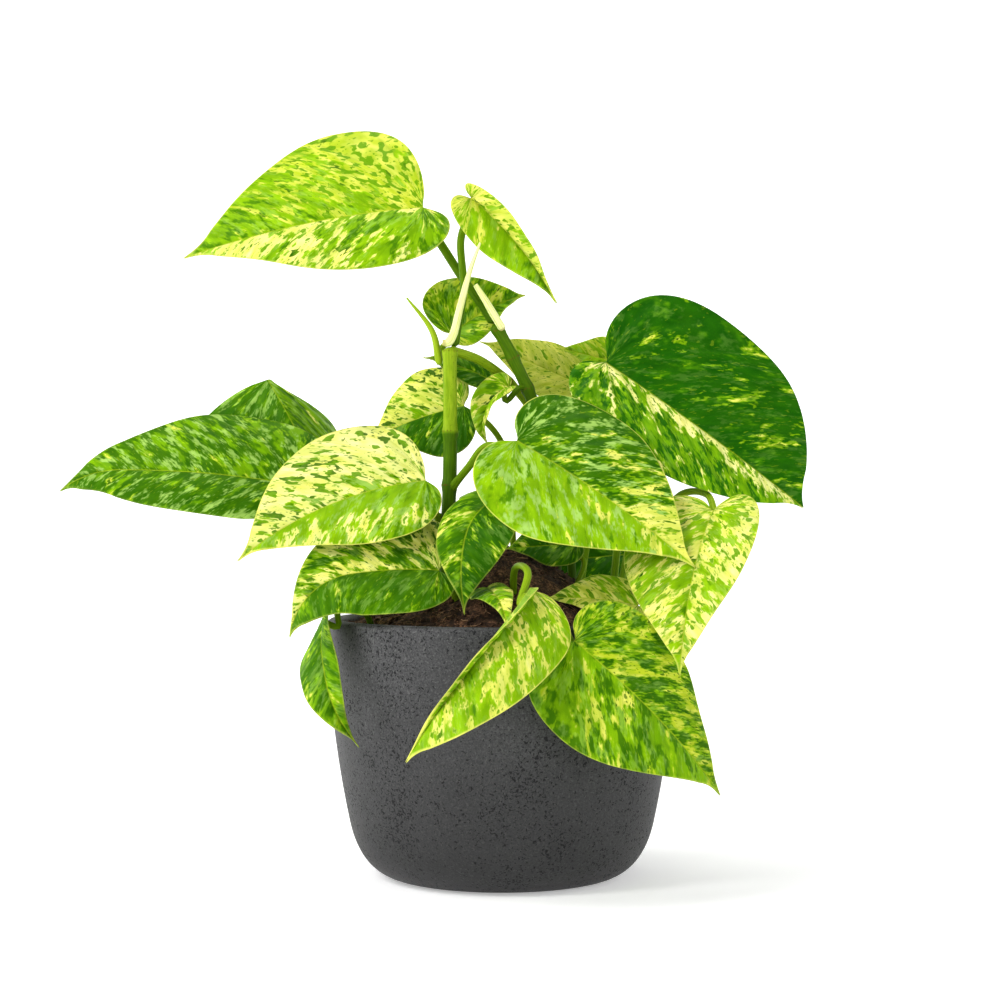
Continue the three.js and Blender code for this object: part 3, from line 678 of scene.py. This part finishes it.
def bent(leaf, share, across):
    """The points of the blade's middle layer, the way its upper face looks, and what its finish needs."""
    side, half, out = np.where(across < 0, -1.0, 1.0), (across >= 0).astype(int), np.abs(across)
    edge_x, edge_y = outline(share, np.array(leaf["full"])[half], np.array(leaf["lobe"])[half])
    start = share**VEIN_START
    x = start + (edge_x - start) * out**VEIN_SLANT
    s = np.clip(x, 0, 1)
    steps = heading(leaf, (np.arange(MIDRIB_STEPS) + 0.5) / MIDRIB_STEPS)[0] * leaf["length"] / MIDRIB_STEPS
    midrib = np.vstack([leaf["seat"], leaf["seat"] + np.cumsum(steps, 0)])
    marks = np.linspace(0, 1, MIDRIB_STEPS + 1)
    point = np.stack([np.interp(s, marks, midrib[:, axis]) for axis in range(3)], -1)
    forward, up, right = heading(leaf, s)
    point += forward * ((x - s) * leaf["length"])[:, None]
    fold, curl = (np.radians(np.array(leaf[key], float))[half] for key in ("fold", "curl"))
    fold = fold * (1 - np.array(leaf["unfold"])[half] * s)
    width = np.array(leaf["widths"], float)[half]
    angle = fold - curl * edge_y * out
    point += right * (side * width / curl * (np.sin(fold) - np.sin(angle)))[:, None]
    point += up * (width / curl * (np.cos(angle) - np.cos(fold)))[:, None]
    face = up * np.cos(angle)[:, None] - right * (side * np.sin(angle))[:, None]
    rib = edge_y * out * width
    place, reach = veins(x * leaf["length"], rib)
    marks = {"place": place, "reach": side * reach, "rib": side * rib, "edge": edge_y * width * (1 - out)}
    return point, face, marks


HALF_THICK, GROOVE_DEPTH, GROOVE_WIDTH, RIDGE_HEIGHT, RIDGE_WIDTH = 0.27, 0.32, 0.9, 0.85, 1.0
LONG_LEAF, FINE_GRID, COARSE_GRID = 60, (84, 56), (60, 44)


def relief(leaf, share, across, marks, upper):
    """How far each point stands off the middle layer: thickness, midrib, quilting and the waved margin."""
    out, off_rib = np.abs(across), marks["rib"]
    phase = leaf["seed"] * 1.7 + np.where(across < 0, 0.0, 2.1)
    open_part = np.clip((share - 0.03) / 0.2, 0, 1) * np.clip((1 - share) / 0.15, 0, 1)
    pillow = 0.5 - 0.5 * np.cos(2 * np.pi * marks["place"] / leaf["length"] * SIDE_VEINS)
    quilt = leaf["quilt"] * pillow * open_part * out**0.5 * (1 - out**4)
    long_wave = np.sin(2 * np.pi * 1.6 * share + phase)
    short_wave = np.sin(2 * np.pi * 3.7 * share + 2.3 * phase)
    wave = long_wave * 0.65 + short_wave * 0.35
    wave = leaf["wave"] * wave * out**3 * np.sqrt(np.clip(np.sin(np.pi * share), 0, 1))
    skin = HALF_THICK * (1 - 0.6 * out**6)
    groove = GROOVE_DEPTH * np.exp(-((off_rib / GROOVE_WIDTH) ** 2))
    ridge = RIDGE_HEIGHT * (1 - 0.7 * share) * np.exp(-((off_rib / RIDGE_WIDTH) ** 2))
    return quilt + wave + np.where(upper, skin - groove, -skin - ridge)


def two_layers(rows, columns):
    """A flat grid with a second layer above it and a closed rim."""
    shape = bmesh.new()
    bmesh.ops.create_grid(shape, x_segments=rows, y_segments=columns, size=1)
    grown = bmesh.ops.extrude_face_region(shape, geom=shape.faces[:], use_keep_orig=True)["geom"]
    bmesh.ops.translate(shape, verts=new_verts(grown), vec=(0, 0, 1))
    bmesh.ops.recalc_face_normals(shape, faces=shape.faces)
    return shape


def blade_mesh(name, leaf):
    mesh = mesh_of(name, two_layers(*(FINE_GRID if leaf["length"] > LONG_LEAF else COARSE_GRID)))
    flat = np.zeros(len(mesh.vertices) * 3)
    mesh.vertices.foreach_get("co", flat)
    flat = flat.reshape(-1, 3)
    upper = flat[:, 2] > 0.5
    share = (flat[:, 0] + 1) / 2
    out = np.abs(flat[:, 1])
    across = np.sign(flat[:, 1]) * (0.35 * out + 0.65 * 0.5 * (1 - np.cos(np.pi * out)))
    point, face, marks = bent(leaf, share, across)
    point += face * relief(leaf, share, across, marks, upper)[:, None]
    mesh.vertices.foreach_set("co", (point * MM).ravel())
    mesh.flip_normals()  # the bend mirrors the grid, so its faces are turned to point out again
    marks["vein"] = marks["place"] / leaf["length"] * SIDE_VEINS
    marks["under"] = np.where(upper, 0.0, 1.0)
    for key, values in marks.items():
        mesh.attributes.new(key, "FLOAT", "POINT").data.foreach_set("value", values.astype(np.float32))
    mesh.update()
    return mesh


print("blade helpers made")

# %% [markdown]
# A marbled leaf carries pale tissue in streaks that run out along its side veins, and each half of the
# blade has its own share of it, because the two halves grow from different cells. So the noise is laid on
# the leaf's own coordinates, the place along the midrib and the reach along the vein, squeezed one way
# and stretched the other. Three sizes of streak are added up, and where the sum passes a threshold the
# leaf is pale, with a lime halo just below it. Dark spots on the pale parts, and pale flecks and pale
# patches of painted sheen on the green ones, are other streaks; the sheen stands in for the lamps' soft
# reflection.


# %% Marbled leaf skin
DEEP, GREEN, LIME = (0.032, 0.128, 0.001), (0.135, 0.310, 0.002), (0.320, 0.535, 0.005)
LIME_CREAM, CREAM, WHITE_CREAM = (0.46, 0.55, 0.030), (0.74, 0.73, 0.17), (0.88, 0.85, 0.38)
COOL_DEEP, COOL_GREEN = (0.009, 0.095, 0.001), (0.055, 0.235, 0.003)


def leaf_finish(
    name, seed, length, cream, green, pale, fleck, margin, silver, tipward, ribward, calm, cool, speck
):
    skin = Finish(name, roughness=0.42, Specular_IOR_Level=0.05)
    place, reach, rib = (skin.value(key) for key in ("place", "reach", "rib"))
    side = skin.step(rib, -0.05, 0.05)

    def half(pair):
        return pair[0] + side * (pair[1] - pair[0])

    def streaks(wide, long, offset, detail=2.0):
        """Noise in streaks so many millimetres wide and long, different for each leaf, half and offset."""
        own = side * 5.3 + seed * 2.7 + offset
        return skin.noise(skin.vector(place / wide, reach / long, own), detail=detail)

    # where the half is pale, and the lime halo round it
    fine, grain = streaks(3.2, 6.5, 0, 2.5), streaks(0.9, 2.2, 3)
    sums = streaks(8, 15, 6) * 0.48 + fine * 0.42 + grain * 0.10
    over = sums - (0.5 + (0.5 - half(cream)) * 0.27)
    towards_tip = (place / length - 0.4) * half(tipward)
    over = over + towards_tip * 0.2
    over = over + (0.5 - skin.step(abs(rib), 2, 16)) * half(ribward) * 0.14
    creamy = skin.step(over, -0.022, 0.020)
    limy = skin.step(over + (grain - 0.5) * 0.1, -0.070, -0.020)
    # dark clouds in the green, dark spots in the pale parts, and pale flecks in the green
    depth = streaks(7, 12, 23) * 0.45 + streaks(3.4, 6.5, 29) * 0.45 + grain * 0.10
    depth = 0.5 + (depth - 0.5) * (1 - half(calm)) + towards_tip * 0.12
    dark = 1 - skin.step(depth + half(green) * 0.27 - 0.135, 0.43, 0.51)
    spots = skin.step(streaks(3.0, 4.4, 9, 1.0) + (half(speck) - 0.5) * 0.1, 0.578, 0.612)
    spots = spots + skin.step(streaks(1.2, 1.7, 13, 1.0), 0.635, 0.66) * 0.8
    flecks = skin.step(streaks(1.3, 4.0, 17), 0.645, 0.69) * fleck
    # the colours of both, and the patches that lie over them
    tone = half(green) + (streaks(4, 9, 41) - 0.5) * 1.2 * (1 - half(calm) * 0.6)
    deep, fresh = skin.mix(cool, DEEP, COOL_DEEP), skin.mix(cool, GREEN, COOL_GREEN)
    leaf_green = skin.mix(dark, skin.mix(tone, fresh, LIME), skin.mix(tone, deep, fresh))
    leaf_green = skin.mix(limy * 0.6, leaf_green, LIME)
    whiteness = half(pale) + (streaks(3, 9, 31) - 0.5) * 1.2
    leaf_cream = skin.ramp(whiteness, (0.0, LIME_CREAM), (0.5, CREAM), (1.0, WHITE_CREAM))
    colour = skin.mix(creamy, leaf_green, leaf_cream)
    colour = skin.mix(creamy * spots * 0.92, colour, skin.mix(dark, GREEN, DEEP))
    colour = skin.mix(flecks * (1 - creamy) * 0.7, colour, LIME_CREAM)
    # painted sheen: pale grey-green patches on the green parts stand in for the soft reflection of the
    # lamps
    sheen = skin.step(streaks(4.2, 8, 37, 3.0) * 0.7 + grain * 0.3, 0.50, 0.62) * (1 - creamy) * silver
    colour = skin.mix(sheen, colour, (0.38, 0.57, 0.14))
    # painted shade in the side veins' creases, the midrib, pale rim and soft shade
    beat = skin.sum("FRACT", skin.value("vein"))
    off_vein = 0.5 - abs(beat - 0.5)
    # painted shade: the side veins lie in shallow creases, and their lines are darkened a little, as the
    # shade in them
    vein_crease_shade = (1 - skin.step(off_vein, 0.0, 0.06)) * skin.step(abs(rib), 0.4, 2.0)
    colour = skin.mix(vein_crease_shade * 0.16, colour, DEEP)
    midrib = 1 - skin.step(abs(rib), 0.15, 0.5)
    colour = skin.mix(midrib * 0.45, colour, LIME_CREAM)
    colour = skin.mix((1 - skin.step(skin.value("edge"), 0.1, 0.6)) * margin, colour, CREAM)
    shade = skin.step(streaks(9, 12, 47), 0.40, 0.60)
    colour = skin.mix((1 - shade) * 0.25, colour, skin.mix(creamy, DEEP, GREEN))
    # a duller underside, and the relief of pores, streaks and veins
    under = skin.value("under")
    skin.set("Base Color", skin.mix(under * 0.45, colour, (0.36, 0.50, 0.12)))
    pores = skin.noise(skin.object_place(), scale=1500, detail=2)
    skin.set("Roughness", 0.40 + (grain - 0.5) * 0.2 + under * 0.2)
    height = pores * 0.3 + fine * 0.6 + off_vein * 1.2
    skin.set("Normal", skin.bump(height, 0.0003, 0.8))
    return skin.material


print("leaf skin recipe made")

# %% [markdown]
# ## Every leaf
# Each leaf has its seat, length, bearing (0 right, 90 back, 180 left, 270 front), rise and roll in
# degrees, the widths of its two halves, and how they fold and curl. After them come its looks: how much
# of each half is pale, how bright its green is and how white its pale parts are, each for the left and
# the right half as seen from the seat.
#
# - `fleck`, `margin`, `silver` and `speck`: pale flecks, a pale rim, pale patches of painted sheen and dark
#   spots
# - `tipward` and `ribward`: how much paler a half is towards its tip and its midrib, greener below zero
# - `calm`: how even a half's green is; `cool`: how little yellow is in the whole leaf's green

# %% The leaves' values
USUAL_SHAPE = dict(
    roll=(0, 0), fold=(12, 12), unfold=(0, 0), curl=(25, 25), full=(0, 0), lobe=(1, 1), quilt=0.7, wave=0.9
)
USUAL_LOOKS = dict(
    cream=(0.3, 0.3), green=(0.5, 0.5), pale=(0.4, 0.4), fleck=0.4, margin=0.3, silver=0.3,
    tipward=(0, 0), ribward=(0, 0), calm=(0, 0), cool=0, speck=(0.4, 0.4),
)
LEAVES = {}


def leaf(name, seat, length, bearing, rise, widths, **changes):
    """A single number stands for both halves, or for both ends of the midrib."""
    values = dict(seat=np.array(seat, float), length=length, bearing=bearing, rise=rise, widths=widths)
    usual = {**USUAL_SHAPE, **USUAL_LOOKS}
    for key, value in changes.items():
        pair = isinstance(usual[key], tuple) and not isinstance(value, tuple)
        values[key] = (value, value) if pair else value
    LEAVES[name] = {**usual, **values, "seed": len(LEAVES) + 1}


leaf("top_left", (-33, 6, 279), 101, (184, 178), (-5, -19), (29, 46), roll=-58, full=(0, 0.05),
     lobe=(1.15, 0.2), cream=(0.48, 0.44), green=(0.55, 0.6), pale=(0.6, 0.14), tipward=(0.6, -1),
     margin=0.5, speck=(0.4, 1.0))
leaf("top_right", (-13, 0, 282), 58, (-10, -30), (-40, -60), (8.5, 15), roll=58, fold=(75, 15),
     cream=(0.7, 0.12), green=0.6, pale=(0.35, 0.3), tipward=(0, -1.2), calm=(0.2, 0.4))
leaf("upper_centre", (-21, 14, 226), 36, (25, 0), (42, 16), (22, 12), roll=70, fold=(10, 40),
     cream=(0.36, 0.34), green=(0.35, 0.38), pale=0.1, calm=0.2)
leaf("far_left", (-84, -4, 162), 100, (178, 182), (10, 7, 3, 0, -36), (22, 34), roll=-50, full=(0.8, 0),
     lobe=(0.2, 1), cream=(0.02, 0.08), green=(0.22, 0.3), pale=(0.2, 0.3), silver=0.9, margin=0.1,
     calm=(0.4, 0))
leaf("left_behind", (-101.5, 36, 208.3), 70, (-40, -40), (-50, -60), (40, 48), roll=27, fold=(-36, -24),
     curl=(12, 10), full=(0, -0.5), lobe=(-0.7, 0.4), cream=(0.1, 0.0), green=(0.4, 0.25), pale=0.5,
     silver=0.7, fleck=0.1, margin=0.0, calm=(0.2, 0.6), wave=0.3)
leaf("left_cream", (-31, -22, 164), 84, (196, 204), (-6, -38), (27, 36), roll=-48, lobe=(0.6, 0.2),
     cream=(0.28, 0.9), green=(0.65, 0.4), pale=(0.7, 0.75), silver=0.7, tipward=(0.8, 0),
     ribward=(-1.2, -0.8), margin=0.9, calm=(0.3, 0), speck=(0.4, 0.5))
leaf("centre_heart", (6, -30, 180), 89, (-20, -26), (-29, -38), (36, 37), roll=46, cream=(0.36, 0.2),
     green=(0.18, 0.66), pale=(0.45, 0.4), silver=1, tipward=(1.2, 0.5), margin=0.7, calm=(0, 0.2))
leaf("right_large", (44, 12, 214), 101, (-8, -12), (-34, -39), (51, 42), roll=52, fold=(16, 25),
     curl=(15, 20), full=(0.7, 0.6), cream=(0.0, 0.43), green=(0.2, 0.42), pale=(0.3, 0.85),
     ribward=(0, 0.8), fleck=0.3, margin=0.0, silver=0.12, quilt=1.3, calm=(0.55, 0), cool=1)
leaf("right_cream", (84.5, -37, 152), 76, (-116, -110), (-38, -74), (24, 31), fold=(22, 15),
     cream=(0.58, 0.52), green=(0.7, 0.75), pale=0.6, margin=0.5, speck=0.5)
leaf("front_right", (27.5, -77.5, 102.5), 82, (-20, 30), (-38, -46, -52), (30, 33), roll=(48, 58, 60),
     fold=(5, 0), curl=(15, 25), full=(0.15, 0), cream=(0.36, 0.2), green=(0.2, 0.4), pale=(0.1, 0.2))
leaf("front_drooping", (11, -73, 121.5), 90, (-108, -170), (-24, -60), (25, 7), roll=-42, fold=(12, 125),
     unfold=(0, 0.4), full=(0.7, 0), lobe=(0.3, 0.2), cream=(0.42, 0.4), green=(0.7, 0.6),
     pale=(0.5, 0.4), margin=1, calm=0.3)
leaf("soil_right", (55, -28, 113.5), 38, (195, 190), (12, -2), (11, 14), roll=-45, cream=0.7, green=0.6,
     pale=0.5)
leaf("centre_low", (-2, -35, 157), 56, (206, 296), (-25, -64, -66), (20, 13), roll=(-20, -10),
     fold=(15, 10), cream=(0.06, 0.14), green=(0.05, 0.25), pale=(0.4, 0.5), silver=0.2)
leaf("front_left", (-25, -40, 128), 72, (186, 205), (4, -8, -80), (22, 30), roll=-50, full=(0.6, -0.5),
     cream=(0.03, 0.5), green=(0.28, 0.2), pale=(0.4, 0.6), calm=(0.6, 0))
leaf("soil_front", (-6, -35, 121), 47, (-84, -70), (0, -12, -70), (8, 9), roll=10, fold=(12, 0),
     full=(0, -0.6), cream=(0.45, 0.4), green=(0.5, 0.4), pale=0.5)
leaf("hanging_left", (-71, -34, 109), 57, (-110, -50, 20), (-50, -72, -50), (8, 13), roll=62, cream=0.15,
     green=(0.35, 0.3), pale=0.3, calm=0.3)
leaf("back_pale", (39, 52, 205), 52, (190, 182), (24, 22), (19, 19), roll=-50, cream=1.0, green=0.6,
     pale=0.35, speck=0.0, quilt=0.4)
leaf("back_right", (68, 57, 213), 46, (198, 192), (12, 12), (16, 16), roll=-50, cream=0.5, green=0.75,
     pale=0.2)
leaf("middle_left", (-16, 14, 196), 42, (180, 184), (-12, -28), (23, 23), roll=-58, cream=(0.04, 0.66),
     green=(0.08, 0.35), pale=(0.4, 0.5))
leaf("centre_hooked", (3, 5, 203), 28, (190, 184), (-20, -70, -110), (10, 9), roll=-35, fold=40,
     cream=0.4, green=0.6, pale=0.5)
leaf("centre_dark", (-3, 21, 206), 32, (184, 178), (30, 10), (10, 10), roll=-40, cream=0.03,
     green=(0.05, 0.1))
leaf("under_heart", (31, -7, 138), 30, (182, 190), (-4, -4), (12, 14), roll=-45, cream=0.05, green=0.1)
# painted shade: rear_right is coloured an almost black green, as a leaf in deep shade, to fill the dark gap
# behind the plant
leaf("rear_right", (64, 64, 132), 55, (184, 180), (-2, -12), (15, 16), roll=-50, cream=(0.05, 0.08),
     green=(0.05, 0.1), silver=0.1, fleck=0.2, cool=0.5)
leaf("rear_left", (-40, 38, 130), 60, (132, 128), (26, -12), (23, 23), cream=(0.3, 0.2))
leaf("rear_low", (8, 50, 119), 74, (82, 76), (12, -64), (27, 27), cream=(0.35, 0.5), green=0.6)
leaf("rear_high", (8, 48, 154), 74, (86, 78), (18, -22), (29, 29), cream=(0.25, 0.4), green=0.4)
print("leaves:", len(LEAVES))

# %% Make the blades
for name, values in LEAVES.items():
    looks = {key: values[key] for key in USUAL_LOOKS}
    skin = leaf_finish("skin_" + name, values["seed"], values["length"], **looks)
    piece("blade_" + name, blade_mesh(name, values), skin, "leaf_" + name)
print("blades made:", len(LEAVES))

# %% [markdown]
# ## The leaf stalks
# Each blade hangs on a grooved stalk that swells where it leaves the vine or the soil, and again just
# under the blade. It comes up square to the blade, so its last two points are worked out from the blade's
# own seat. A curve drawn to the blade by eye would be quicker, but its end would not fit when the blade
# is turned.

# %% The stalks' routes
STALKS = {
    "top_left": (2, (-3, 6, 230.4), (-17, 7, 250), (-28, 10, 267)),
    "top_right": (1.7, (-20, -5, 219.6), (-16, -2, 243), (-17, 2, 266)),
    "upper_centre": (1.4, (-21.5, -9, 213), (-24, 4, 214), (-26, 12, 219)),
    "far_left": (1.5, (-22.5, -11.5, 148), (-50, -4, 155), (-74, 2, 157)),
    "left_behind": (1.1, (-38, 12, 90), (-52, 22, 138), (-83, 54, 172), (-98, 52, 198)),
    "left_cream": (1.6, (-23, -12, 140), (-27, -14, 150), (-29, -17, 158)),
    "centre_heart": (1.7, (-21.5, -11, 160), (-14, -18, 169), (-6, -22, 178)),
    "right_large": (1.8, (44, 16, 90), (50, 24, 150), (47, 24, 195)),
    "right_cream": (1.6, (52, 8, 90), (62, 6, 138), (74, -4, 158), (84, -17, 158)),
    "front_right": (1.6, (10, -44, 90), (13, -56, 112), (18, -66, 113.5), (22, -71.5, 110.5)),
    "front_drooping": (1.6, (4, -22, 90), (4.5, -32, 116), (5, -42, 128), (8, -54, 130), (10, -65, 127)),
    "soil_right": (1.3, (55, -19, 90), (56, -21, 105)),
    "centre_low": (1.4, (-5, -8, 90), (-3, -8, 135), (-1, -20, 150)),
    "front_left": (1.5, (-18, -30, 90), (-18, -32, 112), (-21, -34, 122)),
    "soil_front": (1.3, (-9, -24, 90), (-9, -26, 108), (-7, -30, 116)),
    "hanging_left": (1.4, (-50, -22, 92), (-56, -26, 111), (-66, -30, 113)),
    "back_pale": (1.5, (30, 32, 90), (40, 50, 155), (44, 58, 192)),
    "back_right": (1.6, (46, 28, 90), (58, 42, 145), (68, 46, 164), (76, 52, 175), (78, 62, 196)),
    "middle_left": (1.4, (6, 4, 90), (4, 6, 150), (0, 13, 180), (-11, 19, 192)),
    "centre_hooked": (1.3, (10.5, 9.3, 202), (8, 7, 203.5)),
    "centre_dark": (1.2, (4, 15, 205), (2, 21, 202)),
    "under_heart": (1.2, (26, -8, 90), (30, -7, 118), (34, -5, 131)),
    "rear_right": (1.3, (42, 40, 92), (44, 43, 112), (54, 58, 118), (64, 70, 123)),
    "rear_left": (1.4, (-30, 30, 90), (-33, 33, 116), (-37, 36, 125)),
    "rear_low": (1.5, (6, 36, 90), (7, 40, 108), (7, 45, 114)),
    "rear_high": (1.6, (12, 20, 90), (12, 32, 125), (9, 42, 148)),
}
STALK_REACH, STALK_BEND, STALK_END = 2.5, 6, 0.35  # along the midrib, below the blade, and just under it
OLD_STALKS = "top_left", "top_right", "hanging_left", "centre_hooked"


def stalk_age(name):
    foot = 0.95 if name in OLD_STALKS else 0.6
    return lambda share: foot * (1 - 0.3 * share) - 0.3 * share


def stalk_width(share):
    """Thick at its foot, slim in the middle, and a little thicker again at the joint under the blade."""
    return 0.92 + 0.35 * math.exp(-((share / 0.09) ** 2)) + 0.14 * math.exp(-(((1 - share) / 0.08) ** 2))


for name, (radius, *route) in STALKS.items():
    forward, up, _ = (Vector(way[0]) for way in heading(LEAVES[name], np.zeros(1)))
    meeting = Vector(LEAVES[name]["seat"]) + forward * STALK_REACH
    whole = [*route, meeting - up * STALK_BEND, meeting - up * STALK_END]
    shape = stem_shape(whole, radius, stalk_age(name), groove=0.22, width=stalk_width)
    piece("stalk_" + name + "_stem", shape, stem_skin.material, "stalk_" + name)
print("stalks made:", len(STALKS))

# %% [markdown]
# ## The papery sheaths
# When a new leaf unrolls, the skin that wrapped it dries to a cream, papery strip that stays at the node.
# It is an open, curled sheet, so a grid gets a thin second layer by an extrusion, and is wrapped about
# two thirds of the way round its route and narrowed to its tip. A cone would be simpler, but it would
# look like a spike, not a skin.


# %% A curled strip
SHEATH_WRAP, SHEATH_SKIN = 4.4, 0.22  # radians at its foot, and millimetres
SHEATH_SPACING, SHEATH_COLUMNS = 0.8, 24


def sheath_shape(route, radius, tip, seed):
    points, run = smooth_route(route, SHEATH_SPACING)
    shape = two_layers(len(points) - 1, SHEATH_COLUMNS)
    layers = {key: shape.verts.layers.float.new(key) for key in ("along", "side_x", "side_y", "torn")}
    frames = frames_along(points, Vector((0.2, 1, 0)))
    for vert in shape.verts:
        share = (vert.co.x + 1) / 2
        point, ahead, front = frames[round(share * (len(points) - 1))]
        turn = vert.co.y * SHEATH_WRAP / 2 * (1 - 0.45 * share)
        reach = (radius + (tip - radius) * share) * min(1.0, 0.55 + share * 8)
        reach *= 1 + 0.12 * noise.noise(Vector((vert.co.y * 1.5, share * 4, seed))) + 0.25 * vert.co.y**4
        reach -= (1 - vert.co.z) * SHEATH_SKIN
        way = -front * math.cos(turn) + ahead.cross(front) * math.sin(turn)
        vert[layers["along"]] = run[-1] * share
        vert[layers["side_x"]], vert[layers["side_y"]] = math.cos(turn) * radius, math.sin(turn) * radius
        vert[layers["torn"]] = max(0.0, 1 - share * 14)
        vert.co = (point + way * reach) * MM
    return shape


print("sheath helper made")

# %% Dry sheath skin
papery = Finish("papery_sheath", roughness=0.6, Specular_IOR_Level=0.3)
strip = [papery.value(key) for key in ("side_x", "side_y", "along")]
fibres = papery.noise(papery.vector(strip[0] * 2.2, strip[1] * 2.2, strip[2] * 0.09), detail=3)
dry = papery.ramp(fibres, (0.3, (0.56, 0.60, 0.16)), (0.5, (0.78, 0.82, 0.36)), (0.72, (0.90, 0.90, 0.55)))
torn = papery.step(papery.value("torn") + (fibres - 0.5) * 0.8, 0.45, 0.7)
papery.set("Base Color", papery.mix(torn * 0.6, dry, (0.42, 0.34, 0.10)))
papery.set("Normal", papery.bump(fibres, 0.0003, 0.6))
# each sheath's route, and its radius at the foot and at the tip
SHEATHS = {
    "sheath_left": (
        [(-24.6, -11.2, 220.9), (-22.4, -10.8, 220.8), (-20.2, -10.8, 224)]
        + [(-17, -12, 236), (-13, -11.5, 251), (-9, -10.5, 262)],
        1.75, 0.45,
    ),
    "sheath_right": ([(0.5, 2.2, 227), (-5, 1.6, 236), (-11, 2.2, 246)], 1.6, 0.9),
    "sheath_spike": ([(-25.8, -8, 212), (-29, -6, 226), (-39.5, -3, 240)], 1.5, 0.3),
}
for seed, (name, (route, radius, tip)) in enumerate(SHEATHS.items()):
    finish = stem_skin if name == "sheath_spike" else papery
    curled = sheath_shape(route, radius, tip, seed)
    piece(name + "_strip", curled, finish.material, name)
print("sheaths made:", len(SHEATHS))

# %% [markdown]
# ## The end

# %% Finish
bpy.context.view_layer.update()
